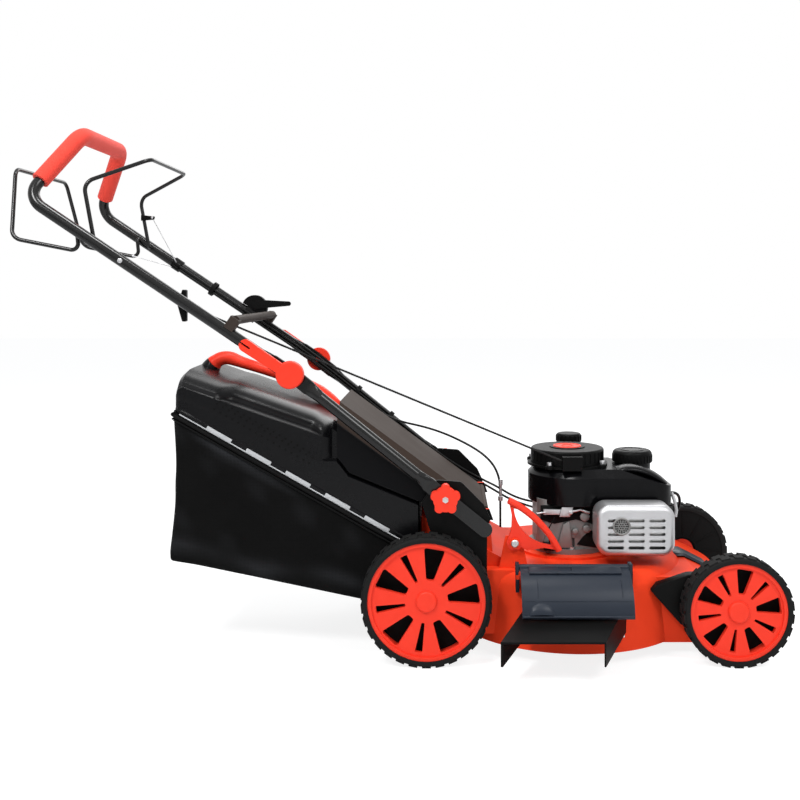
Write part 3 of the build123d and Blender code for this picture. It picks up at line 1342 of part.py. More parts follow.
def lower_handle():
    """Two lower tubes, flattened at both ends."""
    y = -HANDLE_Y
    half = FLAT_THICKNESS / 2
    run = FLAT_LENGTH + FLAT_BLEND - CUT_PAST
    start = on_line(KNOB, LOWER_ANGLE, run)
    end = on_line(KNOB, LOWER_ANGLE, LOWER_SPAN - run)
    tube = rod((start[0], y, start[1]), (end[0], y, end[1]), TUBE_RADIUS)
    tail = on_line(KNOB, LOWER_ANGLE, -LOWER_TAIL)
    tube += link_plate(tail, on_line(KNOB, LOWER_ANGLE, FLAT_LENGTH), FLAT_HALF, y - half, y + half)
    tube += link_plate(on_line(FOLD, LOWER_ANGLE, -FLAT_LENGTH), FOLD, FLAT_HALF, y - half, y + half)
    tube += flat_end(KNOB, LOWER_ANGLE, y, 1)
    tube += flat_end(FOLD, LOWER_ANGLE, y, -1)
    inner_a = on_line(KNOB, LOWER_ANGLE, run + FLAT_PLUG)
    inner_b = on_line(KNOB, LOWER_ANGLE, LOWER_SPAN - run - FLAT_PLUG)
    tube -= rod((inner_a[0], y, inner_a[1]), (inner_b[0], y, inner_b[1]), TUBE_RADIUS - TUBE_WALL)
    tube -= lateral(KNOB_BOLT_RADIUS + RUNNING_FIT, -WHEEL_FACE, 0, *KNOB)
    tube -= lateral(CAM_BOLT_RADIUS + RUNNING_FIT, -WHEEL_FACE, 0, *FOLD)
    return Compound(children=both_sides(tube))


def handle_points(side):
    """Corner points of one side of the upper handle, from the joint to the top."""
    start = on_line(FOLD, UPPER_ANGLE, FLAT_LENGTH + FLAT_BLEND - CUT_PAST)
    top_y = UPPER_Y - TOP_INSET
    return [
        (start[0], side * UPPER_Y, start[1]),
        (ELBOW[0], side * UPPER_Y, ELBOW[1]),
        (ELBOW[0] + TOP_FORWARD, side * top_y, ELBOW[1] + TOP_RISE),
    ]


def upper_handle():
    """One bent tube from joint to joint, flattened at both ends."""
    right = handle_points(-1)
    left = handle_points(1)[::-1]
    tube = bar_along(right + left, [HANDLE_BEND] * 4, TUBE_RADIUS, TUBE_RADIUS - TUBE_WALL)
    half = FLAT_THICKNESS / 2
    for side in (-1, 1):
        y = side * UPPER_Y
        far = on_line(FOLD, UPPER_ANGLE, FLAT_LENGTH)
        tube += link_plate(FOLD, far, FLAT_HALF, y - half, y + half)
        tube += flat_end(FOLD, UPPER_ANGLE, y, 1)
    tube -= lateral(CAM_BOLT_RADIUS + RUNNING_FIT, -WHEEL_FACE, WHEEL_FACE, *FOLD)
    for s in (DRIVE_PIVOT_S, STOP_PIVOT_S):
        pivot = on_line(FOLD, UPPER_ANGLE, s)
        tube -= lateral(BAIL_WIRE + RUNNING_FIT, -UPPER_Y, UPPER_Y, *pivot)
    return tube


def grip():
    """Foam sleeve round the top of the handle."""
    corner, top = handle_points(-1)[1:]
    leg = Vector(*top) - Vector(*corner)
    start = Vector(*corner) + leg.normalized() * GRIP_START
    points = [tuple(start), top, (top[0], -top[1], top[2]), (start.X, -start.Y, start.Z)]
    return bar_along(points, [HANDLE_BEND] * 2, GRIP_RADIUS, TUBE_RADIUS + SEAT_GAP)


def handle_brace():
    """Cross tube on saddles between the two sides of the upper handle."""
    place = on_line(FOLD, UPPER_ANGLE, BRACE_S, BRACE_LIFT)
    bar = lateral(BRACE_RADIUS, -UPPER_Y, UPPER_Y, *place)
    for side in (-1, 1):
        plane = line_plane(on_line(FOLD, UPPER_ANGLE, BRACE_S), UPPER_ANGLE, side * UPPER_Y)
        saddle = box(
            (-SADDLE_LENGTH / 2, SADDLE_LENGTH / 2),
            (-TUBE_RADIUS, TUBE_RADIUS),
            (TUBE_RADIUS / 2, BRACE_LIFT + BRACE_RADIUS / 2),
        )
        bar += plane.location * saddle
    for side in (-1, 1):
        a = on_line(FOLD, UPPER_ANGLE, 0)
        b = on_line(FOLD, UPPER_ANGLE, 2 * BRACE_S)
        y = side * UPPER_Y
        bar -= rod((a[0], y, a[1]), (b[0], y, b[1]), TUBE_RADIUS + SEAT_GAP)
    return bar


def cam_levers():
    """Quick-lock levers outside the fold joint, each with its bolt."""
    face = UPPER_Y + FLAT_THICKNESS / 2 + SEAT_GAP
    head = lateral(CAM_RADIUS, -face - CAM_THICKNESS, -face, *FOLD)
    head = fillet(head.edges().filter_by(GeomType.CIRCLE).sort_by(Axis.Y)[0], CAM_ROUND)
    tip = on_line(FOLD, UPPER_ANGLE, CAM_ARM)
    arm_face = UPPER_Y + TUBE_RADIUS + 2 * SEAT_GAP
    arm = link_plate(FOLD, tip, CAM_ROOT_HALF, -arm_face - CAM_ARM_THICKNESS, -arm_face, CAM_ARM_HALF)
    slot_start = on_line(FOLD, UPPER_ANGLE, CAM_ARM + CAM_ARM_HALF - CAM_SLOT_LENGTH)
    slot_end = on_line(FOLD, UPPER_ANGLE, CAM_ARM + CAM_SLOT_LENGTH)
    slot_depth = arm_face + CAM_ARM_THICKNESS + CUT_PAST
    arm -= link_plate(slot_start, slot_end, CAM_SLOT_HALF, -slot_depth, -arm_face + CUT_PAST)
    lever = head + arm
    inner = HANDLE_Y - FLAT_THICKNESS / 2 - SEAT_GAP
    lever += lateral(CAM_BOLT_RADIUS, -face - CUT_PAST, -inner + BOLT_HEAD_HEIGHT, *FOLD)
    lever += lateral(BOLT_HEAD_RADIUS, -inner, -inner + BOLT_HEAD_HEIGHT, *FOLD)
    right, left = both_sides(lever)
    return {"cam_lever_right": right, "cam_lever_left": left}


def star_knobs():
    """Lobed knobs that clamp the lower handle to its bracket, each with its bolt."""
    face = HANDLE_Y + FLAT_THICKNESS / 2 + SEAT_GAP
    lobe = KNOB_LOBE_SHARE * KNOB_RADIUS
    ring = KNOB_RADIUS - lobe
    knob = lateral(KNOB_CORE_SHARE * KNOB_RADIUS, -face - KNOB_THICKNESS, -face, *KNOB)
    for index in range(KNOB_LOBES):
        turn = radians(90 + index * 360 / KNOB_LOBES)
        x = KNOB[0] + ring * cos(turn)
        z = KNOB[1] + ring * sin(turn)
        knob += lateral(lobe, -face - KNOB_THICKNESS, -face, x, z)
    inner = BRACKET_OUTER - BRACKET_THICKNESS - SEAT_GAP
    knob += lateral(KNOB_BOLT_RADIUS, -face - KNOB_THICKNESS - KNOB_BOLT_TIP, -inner + BOLT_PAST, *KNOB)
    knob += lateral(BOLT_HEAD_RADIUS + BOLT_ROOM, -inner, -inner + BOLT_HEAD_HEIGHT, *KNOB)
    right, left = both_sides(knob)
    return {"star_knob_right": right, "star_knob_left": left}


def bail(pivot_s, leg_y, corners, bends):
    """Wire bail: a pin in each tube, two legs and a cross bar. Corners are (x, y, z) on the right."""
    pivot = on_line(FOLD, UPPER_ANGLE, pivot_s)
    pin_y = UPPER_Y - TUBE_RADIUS + BAIL_PIN_DEPTH
    right = [(pivot[0], -pin_y, pivot[1]), (pivot[0], -leg_y, pivot[1])] + corners
    left = [(x, -y, z) for x, y, z in right[::-1]]
    return bar_along(right + left, bends + bends[::-1], BAIL_WIRE)


def bails():
    """Drive bail behind the grip and stop bail in front of it."""

    def corner(place, y):
        return (ELBOW[0] + place[0], -y, ELBOW[1] + place[1])

    drive_corners = [
        corner(DRIVE_BAIL_HEEL, DRIVE_BAIL_Y),
        corner(DRIVE_BAIL_KNEE, DRIVE_BAIL_Y),
        corner(DRIVE_BAIL_TOP, BAIL_TOP_HALF),
    ]
    stop_corners = [corner(STOP_BAIL_KNEE, STOP_BAIL_Y), corner(STOP_BAIL_TOP, BAIL_TOP_HALF)]
    pin = BAIL_PIN_BEND
    wide = 2 * BAIL_BEND
    return {
        "drive_bail": bail(DRIVE_PIVOT_S, DRIVE_BAIL_Y, drive_corners, [pin, BAIL_BEND, wide, wide]),
        "stop_bail": bail(STOP_PIVOT_S, STOP_BAIL_Y, stop_corners, [pin, wide, wide]),
    }


def throttle():
    """Throttle housing clamped on the left tube, and its lever beside it."""
    plane = line_plane(on_line(FOLD, UPPER_ANGLE, THROTTLE_S), UPPER_ANGLE, UPPER_Y)
    dome = lateral(THROTTLE_RADIUS, -THROTTLE_HALF, THROTTLE_HALF, 0, THROTTLE_BASE)
    reach = 2 * THROTTLE_RADIUS
    dome &= box((-reach, reach), (-reach, reach), (THROTTLE_BASE - THROTTLE_ROOT, reach))
    band = Rot(0, 90, 0) * Cylinder(TUBE_RADIUS + CLAMP_WALL, CLAMP_LENGTH)
    body = dome + band - Rot(0, 90, 0) * Cylinder(TUBE_RADIUS + RUNNING_FIT, 2 * reach)
    side = THROTTLE_HALF + SEAT_GAP
    tip = (-THROTTLE_TIP_FORWARD, THROTTLE_TIP_RISE)
    lever = link_plate(
        (0, THROTTLE_PIVOT), tip, THROTTLE_HUB, side, side + THROTTLE_LEVER_THICKNESS, THROTTLE_HUB / 2
    )
    pin = lateral(THROTTLE_PIN, -THROTTLE_HALF - CUT_PAST, side + CUT_PAST, 0, THROTTLE_PIVOT)
    body -= lateral(THROTTLE_PIN + RUNNING_FIT, -reach, reach, 0, THROTTLE_PIVOT)
    return {"throttle_housing": plane.location * body, "throttle_lever": plane.location * (lever + pin)}


def guide_place():
    """Centre of the rope guide's ring."""
    x, z = on_line(FOLD, UPPER_ANGLE, GUIDE_S, GUIDE_LIFT)
    return Vector(x, -UPPER_Y + GUIDE_INSET, z)


def rope_direction():
    """Unit vector along the taut rope, from the guide to the recoil."""
    return (Vector(*rope_end()) - guide_place()).normalized()


def starter():
    """Rope guide on the right tube, T-handle behind it and the rope to the recoil."""
    centre = guide_place()
    along = rope_direction()
    ring_plane = Plane(origin=centre, z_dir=along)
    guide = ring_plane.location * Torus(GUIDE_RING, GUIDE_WIRE)
    stem_x, stem_z = on_line(FOLD, UPPER_ANGLE, GUIDE_S)
    stem_start = (stem_x, -UPPER_Y + TUBE_RADIUS + RUNNING_FIT, stem_z)
    stem_end = (centre.X, centre.Y - GUIDE_RING, centre.Z)
    guide += rod(stem_start, stem_end, GUIDE_WIRE)
    guide -= rod(
        (FOLD[0], -UPPER_Y, FOLD[1]), (ELBOW[0], -UPPER_Y, ELBOW[1]), TUBE_RADIUS + RUNNING_FIT
    )
    seat = centre - along * (GUIDE_WIRE + SEAT_GAP)
    stem_back = seat - along * GRIP_STEM_LENGTH
    handle = rod(tuple(stem_back), tuple(seat), GRIP_STEM_RADIUS)
    back = stem_back.X - GRIP_T_DEPTH
    front = stem_back.X + GRIP_STEM_OVERLAP
    low = stem_back.Z - GRIP_T_HEIGHT / 2
    high = stem_back.Z + GRIP_T_HEIGHT / 2
    outline = [
        (back, stem_back.Z),
        (front - GRIP_T_TIP, low),
        (front, low),
        (front, high),
        (front - GRIP_T_TIP, high),
    ]
    bar = prism_y(outline, stem_back.Y - GRIP_T_WIDTH / 2, stem_back.Y + GRIP_T_WIDTH / 2)
    handle += fillet(bar.edges(), GRIP_T_ROUND)
    rope = rod(tuple(seat + along * SEAT_GAP), rope_end(), ROPE_RADIUS)
    return {"rope_guide": guide, "starter_handle": handle, "starter_rope": rope}


def cord_radii(points, largest):
    """Bend radius at each inner point: as large as the runs beside it allow, up to a limit."""
    radii = []
    for a, b, c in zip(points, points[1:], points[2:]):
        before = Vector(*b) - Vector(*a)
        after = Vector(*c) - Vector(*b)
        turn = before.get_angle(after)
        room = CABLE_BEND_SHARE * min(before.length, after.length)
        radii.append(min(largest, room / tan(radians(turn) / 2)))
    return radii


def beside_tube(line_start, angle, distance, tube_y, gap, turn):
    """Centre of a cable that lies against the inner side of a left tube, turned up round it."""
    reach = TUBE_RADIUS + gap + CABLE_RADIUS
    x, z = on_line(line_start, angle, distance, reach * sin(radians(turn)))
    return (x, tube_y - reach * cos(radians(turn)), z)


def control_cables():
    """Stop, drive and throttle cables along the left tubes to the engine and the gearbox."""
    bail_side = STOP_BAIL_Y - BAIL_WIRE - CABLE_RADIUS - SEAT_GAP

    def near_bail(distance, lift):
        x, z = on_line(FOLD, UPPER_ANGLE, distance, lift)
        return (x, bail_side, z)

    def upper(distance, turn):
        return beside_tube(FOLD, UPPER_ANGLE, distance, UPPER_Y, CLAMP_WALL + SEAT_GAP, turn)

    def lower(distance, turn):
        return beside_tube(KNOB, LOWER_ANGLE, distance, HANDLE_Y, SEAT_GAP, turn)

    def from_knob(place):
        return (KNOB_X + place[0], place[1], KNOB_Z + place[2])

    stop, drive, throttle_turn = CABLE_TURNS
    stop_route = [near_bail(*STOP_CABLE_HOOK)]
    stop_route += [upper(s, stop) for s in STOP_CABLE_UPPER]
    stop_route += [lower(s, stop) for s in STOP_CABLE_LOWER]
    stop_route += [from_knob(STOP_CABLE_BOW)] + STOP_CABLE_RUN
    drive_route = [near_bail(*DRIVE_CABLE_HOOK)]
    drive_route += [upper(s, drive) for s in DRIVE_CABLE_UPPER]
    drive_route += [lower(s, drive) for s in DRIVE_CABLE_LOWER]
    drive_route += [from_knob(DRIVE_CABLE_BOW)] + DRIVE_CABLE_RUN
    throttle_route = [upper(THROTTLE_S - CLAMP_LENGTH / 2 - SEAT_GAP, throttle_turn)]
    throttle_route += [upper(THROTTLE_CABLE_UPPER, throttle_turn)]
    throttle_route += [lower(s, throttle_turn) for s in THROTTLE_CABLE_LOWER]
    throttle_route += [from_knob(THROTTLE_CABLE_BOW)] + THROTTLE_CABLE_RUN
    routes = [stop_route, drive_route, throttle_route]
    cables = [bar_along(route, cord_radii(route, CABLE_BEND), CABLE_RADIUS) for route in routes]
    return Compound(children=cables)


def height_control():
    """Height lever (a loop) and the bracket with its pivot pin."""
    pivot = (LEVER_PIVOT_X, LEVER_PIVOT_Z)

    def near(place):
        return (LEVER_PIVOT_X + place[0], LEVER_Y, LEVER_PIVOT_Z + place[1])

    arc = ThreePointArc(near(LEVER_UPPER), near(LEVER_MIDDLE), near(LEVER_LOWER))
    profile = Plane(origin=arc @ 0, x_dir=(0, 1, 0), z_dir=arc % 0)
    section = RectangleRounded(LEVER_RIM_WIDTH, LEVER_RIM_HEIGHT, LEVER_RIM_ROUND)
    low = LEVER_Y - LEVER_THICKNESS / 2
    high = LEVER_Y + LEVER_THICKNESS / 2
    back_edge = [near(place) for place in LEVER_BACK]
    sole_edge = [near(place) for place in LEVER_SOLE]
    outline = [arc, Polyline(near(LEVER_LOWER), *sole_edge[::-1], *back_edge[::-1], near(LEVER_UPPER))]
    web = extrude(make_face(outline), amount=LEVER_THICKNESS / 2, dir=(0, 1, 0), both=True)
    web += lateral(LEVER_HUB_RADIUS, low, high, *pivot)
    start, bow, end = [near(place) for place in LEVER_WINDOW]
    opening = make_face([ThreePointArc(start, bow, end), ThreePointArc(end, near(LEVER_MIDDLE), start)])
    web -= extrude(opening, amount=LEVER_THICKNESS, dir=(0, 1, 0), both=True)
    lever = web + sweep(profile * section, path=arc)
    lever -= lateral(LEVER_PIN_RADIUS + RUNNING_FIT, -WHEEL_FACE, 0, *pivot)
    back = high + SEAT_GAP
    brow = LEVER_PIVOT_Z + LEVER_BRACKET_RISE
    foot = [(LEVER_PIVOT_X + dx, DECK_TOP) for dx in LEVER_BRACKET_FOOT]
    crest = [(LEVER_PIVOT_X + dx, brow) for dx in LEVER_BRACKET_HEAD]
    plate = prism_y(foot + crest[::-1], back, back + LEVER_BRACKET_THICKNESS)
    plate += lateral(LEVER_PIN_RADIUS, low - LEVER_PIN_PAST, back + CUT_PAST, *pivot)
    radius, depth = LEVER_PIN_HEAD
    plate += lateral(radius, low - SEAT_GAP - depth, low - SEAT_GAP, *pivot)
    return {"height_lever": lever, "height_bracket": plate}


def seam_z(x):
    """Height of the bag's seam line at a place along the bag."""
    share = (x - BAG_REAR_X) / BAG_LENGTH
    return BAG_SEAM_REAR_Z + share * (BAG_SEAM_FRONT_Z - BAG_SEAM_REAR_Z)


def crown_z(x):
    """Height of the bag cover's crown line."""
    return BAG_CROWN_REAR_Z - BAG_CROWN_SLOPE * (x - BAG_REAR_X - BAG_CROWN_INSET)


def bag_cover():
    """Hard cover: crowned top, open below to the fabric and open in front as the mouth."""
    neck_x = BAG_MOUTH_X - BAG_NECK_LENGTH

    def solid(inset):
        mouth = BAG_MOUTH_X + (inset and CUT_PAST)
        outline = [
            (BAG_REAR_X + inset, seam_z(BAG_REAR_X + inset) - inset),
            (BAG_REAR_X + inset, BAG_TAIL_Z - inset),
            (BAG_REAR_X + BAG_CROWN_INSET + inset, BAG_CROWN_REAR_Z - inset),
            (neck_x, crown_z(neck_x) - inset),
            (mouth, BAG_CROWN_FRONT_Z - inset),
            (mouth, seam_z(mouth) - inset),
        ]
        half = BAG_HALF - inset
        body = prism_y(outline, -half, half)
        plan = [
            (BAG_REAR_X - CUT_PAST, -half),
            (neck_x - BAG_NECK_STEP, -half),
            (neck_x, -BAG_NECK_HALF + inset),
            (mouth + CUT_PAST, -BAG_NECK_HALF + inset),
            (mouth + CUT_PAST, BAG_NECK_HALF - inset),
            (neck_x, BAG_NECK_HALF - inset),
            (neck_x - BAG_NECK_STEP, half),
            (BAG_REAR_X - CUT_PAST, half),
        ]
        lower_edge = skirt_line(BAG_LID_GAP + inset)
        below = [(2 * BAG_REAR_X, 0), (2 * BAG_REAR_X, lower_edge[0][1])] + lower_edge + [(0, 0)]
        body &= prism_z(plan, 0, 2 * BAG_CROWN_REAR_Z) + prism_y(below, -half, half)
        under_lid = flap_section(REAR_FLAP_WALL + BAG_LID_GAP + inset, BAG_CROWN_REAR_Z)
        reach = REAR_FLAP_LENGTH + 2 * BAG_NECK_LENGTH
        room = extrude(flap_plane(-BAG_NECK_LENGTH) * under_lid, amount=reach)
        room += prism_y(below, -half, half)
        behind = box((2 * BAG_REAR_X, neck_x), (-half, half), (0, 2 * BAG_CROWN_REAR_Z))
        return body & crown_section(inset) & (room + behind)

    return solid(0) - solid(BAG_WALL)


def crown_section(inset):
    """Long prism under the crown line, with bevelled shoulders."""
    half = BAG_HALF - inset
    drop = BAG_SHOULDER
    start = BAG_REAR_X - BAG_HALF
    top = crown_z(start) - inset
    length = BAG_LENGTH + 2 * BAG_HALF
    fall = BAG_CROWN_SLOPE * length
    outline = [
        (-half, -BAG_CROWN_REAR_Z),
        (-half, top - drop),
        (-half + BAG_SHOULDER_RUN, top - drop / 4),
        (-half + BAG_CREST_RUN, top),
        (half - BAG_CREST_RUN, top),
        (half - BAG_SHOULDER_RUN, top - drop / 4),
        (half, top - drop),
        (half, -BAG_CROWN_REAR_Z),
    ]
    face = make_face(Polyline(*[(start, y, z) for y, z in outline], close=True))
    return extrude(face, amount=sqrt(length * length + fall * fall), dir=(length, 0, -fall))


def bag_fabric():
    """Fabric body of the bag, open at the top to the cover."""

    def solid(inset):
        foot = BAG_MOUTH_X - BAG_FRONT_FOOT
        outline = [
            (BAG_REAR_X + inset, seam_z(BAG_REAR_X + inset)),
            (BAG_REAR_X + inset, BAG_BOTTOM_REAR_Z + inset),
            (foot - inset / 2, BAG_BOTTOM_FRONT_Z + inset),
            (BAG_MOUTH_X - inset, BAG_FRONT_Z + inset / 2),
            (BAG_MOUTH_X - inset, seam_z(BAG_MOUTH_X - inset)),
        ]
        return prism_y(outline, -BAG_HALF + inset, BAG_HALF - inset)

    return solid(0) - solid(BAG_WALL)


def bag_frame():
    """Wire hoop at the bag's mouth."""
    x = BAG_MOUTH_X + BAG_FRAME_WIRE + SEAT_GAP
    low = BAG_FRONT_Z + 2 * BAG_FRAME_WIRE
    half = BAG_FRAME_HALF
    high = BAG_FRAME_TOP
    corners = [(x, half, low), (x, half, high), (x, -half, high), (x, -half, low)]
    path = FilletPolyline(*corners, radius=BAG_FRAME_BEND, close=True)
    return sweep(Plane(origin=path @ 0, z_dir=path % 0) * Circle(BAG_FRAME_WIRE), path=path)


def bag_handle():
    """Handle along the cover's crown, with a finger gap under its bar."""
    rear = BAG_REAR_X + BAG_CROWN_INSET + BAG_HANDLE_SETBACK
    front = rear + BAG_HANDLE_FRONT
    rise = BAG_HANDLE_GAP + BAG_HANDLE_BAR

    def over(x, lift):
        return (x, crown_z(x) + lift)

    gap_rear = rear + BAG_HANDLE_POST
    gap_front = front - BAG_HANDLE_POST
    hump_x, hump_rise = BAG_HANDLE_HUMP
    nose_x, nose_drop = BAG_HANDLE_NOSE
    outline = [
        over(rear, 0),
        over(rear, rise - BAG_HANDLE_BACK),
        over(rear + hump_x, rise + hump_rise),
        over(gap_rear, rise),
        over(gap_front, rise),
        over(front - nose_x, rise - nose_drop),
        over(front, 0),
        over(gap_front, 0),
        over(gap_front - BAG_HANDLE_FLARE, BAG_HANDLE_GAP),
        over(gap_rear + BAG_HANDLE_FLARE, BAG_HANDLE_GAP),
        over(gap_rear, 0),
    ]
    body = prism_y(outline, -BAG_HANDLE_HALF, BAG_HANDLE_HALF)
    return fillet(body.edges().filter_by(Axis.Y).group_by(SortBy.LENGTH)[-1], BAG_HANDLE_ROUND)


def assembly():
    """Every node of the mower by name."""
    nodes = {}
    nodes.update(axles_and_drive())
    nodes["deck"] = cut_bracket_holes(deck())
    nodes["side_chute"] = side_chute()
    nodes["side_flap"] = side_flap()
    nodes["rear_flap"] = rear_flap()
    nodes["handle_brackets"] = handle_brackets()
    nodes["fasteners"] = fasteners()
    nodes.update(rotor())
    nodes["engine_block"] = engine_block()
    nodes["engine_cowl"] = engine_cowl()
    nodes["recoil_housing"] = recoil_housing()
    nodes["fuel_tank"] = fuel_tank()
    nodes["fuel_cap"] = fuel_cap()
    nodes["oil_cap"] = oil_cap()
    nodes["muffler"] = muffler()
    nodes["muffler_guard"] = muffler_guard()
    nodes.update(intake())
    nodes["spark_plug"] = spark_plug()
    nodes["lower_handle"] = lower_handle()
    nodes["upper_handle"] = upper_handle()
    nodes["grip"] = grip()
    nodes["handle_brace"] = handle_brace()
    nodes.update(cam_levers())
    nodes.update(star_knobs())
    nodes.update(bails())
    nodes.update(throttle())
    nodes.update(starter())
    nodes["control_cables"] = control_cables()
    nodes.update(height_control())
    nodes["bag_cover"] = bag_cover()
    nodes["bag_fabric"] = bag_fabric()
    nodes["bag_frame"] = bag_frame()
    nodes["bag_handle"] = bag_handle()
    nodes.update(wheels())
    return nodes


os.makedirs("parts", exist_ok=True)
for node_name, node_shape in assembly().items():
    export_step(node_shape, f"parts/{node_name}.step")
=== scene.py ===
"""Looks of the walk-behind mower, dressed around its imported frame. Sizes are in millimetres."""

import logging
import math
from dataclasses import dataclass
from enum import Enum
from typing import Iterable, Sequence

import bmesh
import bpy
from bmesh.types import BMVert
from bpy.types import Material, Node, NodeSocket, NodeTree, Object
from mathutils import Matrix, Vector


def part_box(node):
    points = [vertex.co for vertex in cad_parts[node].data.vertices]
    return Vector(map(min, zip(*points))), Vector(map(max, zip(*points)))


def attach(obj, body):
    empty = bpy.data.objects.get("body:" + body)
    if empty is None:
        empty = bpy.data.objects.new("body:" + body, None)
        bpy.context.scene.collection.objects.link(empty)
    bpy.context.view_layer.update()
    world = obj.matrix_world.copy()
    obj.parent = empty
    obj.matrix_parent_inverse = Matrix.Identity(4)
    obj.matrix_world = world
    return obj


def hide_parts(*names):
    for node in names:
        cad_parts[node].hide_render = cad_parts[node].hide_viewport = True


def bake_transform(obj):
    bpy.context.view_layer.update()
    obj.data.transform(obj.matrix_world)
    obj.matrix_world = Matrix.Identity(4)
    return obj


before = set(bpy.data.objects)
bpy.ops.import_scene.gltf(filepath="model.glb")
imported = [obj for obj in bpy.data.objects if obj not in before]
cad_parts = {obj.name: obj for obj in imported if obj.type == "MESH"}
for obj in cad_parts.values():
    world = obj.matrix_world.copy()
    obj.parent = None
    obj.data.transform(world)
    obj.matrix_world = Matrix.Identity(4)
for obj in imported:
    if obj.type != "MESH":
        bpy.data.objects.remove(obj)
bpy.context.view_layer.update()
LOG = logging.getLogger("mower")
MM = 0.001
Point = tuple[float, float, float]
Pair = tuple[float, float]
Placing = tuple[Point, Point]
Size = float | int | Vector
Feed = NodeSocket | float
Link = tuple[NodeSocket, NodeSocket]
Colour = NodeSocket | Point
LEFT = Vector((0, 1, 0))
RIGHT = Vector((0, -1, 0))
UP = Vector((0, 0, 1))
FACING_SIDE = (math.radians(90), 0.0, 0.0)
SIDES = ((-1, "right"), (1, "left"))
WHEELS = tuple(f"{end}_{side}" for end in ("front", "rear") for side in ("right", "left"))
PLAIN_SLOT = "black_plastic"
CREASE = 35.0


class Tone(Enum):
    """The finishes of the mower."""

    RED_PAINT = "red_paint"
    RED_PLASTIC = "red_plastic"
    RED_FOAM = "red_foam"
    TYRE = "tyre_rubber"
    BLACK_PLASTIC = "black_plastic"
    BLACK_GLOSS = "black_gloss"
    COWL = "cowl_plastic"
    FLAP = "flap_plastic"
    BROWN_GLOSS = "brown_gloss"
    LID = "lid_plastic"
    TUBE = "black_tube"
    FABRIC = "bag_mesh"
    STEEL = "steel"
    ZINC = "zinc"
    ALLOY = "cast_alloy"
    SHEATH = "cable_sheath"
    ROPE = "rope_braid"
    CLIP = "grey_clip"
    # Near-black: the own colour of the wheel covers, belt and tank, and painted shade in holes and
    # under the cowl.
    DARK = "dark_hollow"


@dataclass(frozen=True)
class Finish:
    """What one finish is made of.

    Args:
        colour: base colour in linear light.
        worn: colour that scuffs and dust bring out, and the own colour of the sides where a painted
            reflection covers the top.
        rough: roughness of the clean surface.
        metal: metallic share.
        grain: grain size, in waves per metre.
        bump: grain depth, in millimetres.
        mottle: how much the colour varies.
        scuff: how much of the surface is scuffed.
        brushed: whether the grain runs in lines.
        sheen: weight of the soft fibre sheen.
        shine: specular level, half being the usual one.
        painted_reflection_reach: how far from the middle plane the top keeps its painted reflection
            before the sides turn to the worn colour, in metres.
            Zero if they don't.
    """

    colour: Point
    worn: Point
    rough: float
    metal: float = 0.0
    grain: float = 600.0
    bump: float = 0.05
    mottle: float = 0.12
    scuff: float = 0.10
    brushed: bool = False
    sheen: float = 0.0
    shine: float = 0.5
    painted_reflection_reach: float = 0.0


@dataclass(frozen=True)
class Weave:
    """What the bag's open cloth is made of.

    Args:
        hollow: colour in the holes and the dark parts.
        thread: colour of the threads.
        fold_highlight: painted highlight colour along the folds.
        threads: threads per metre.
        grain: size of the broad grain, in waves per metre.
        rough: least roughness.
        rough_spread: how much the roughness varies.
        bump: depth of the weave, in millimetres.
        sheen: weight of the soft fibre sheen.
        shine: specular level.
    """

    hollow: Point = (0.002, 0.002, 0.002)
    thread: Point = (0.006, 0.006, 0.006)
    fold_highlight: Point = (0.030, 0.031, 0.034)
    threads: float = 330.0
    grain: float = 60.0
    rough: float = 0.52
    rough_spread: float = 0.2
    bump: float = 0.4
    sheen: float = 0.02
    shine: float = 0.03


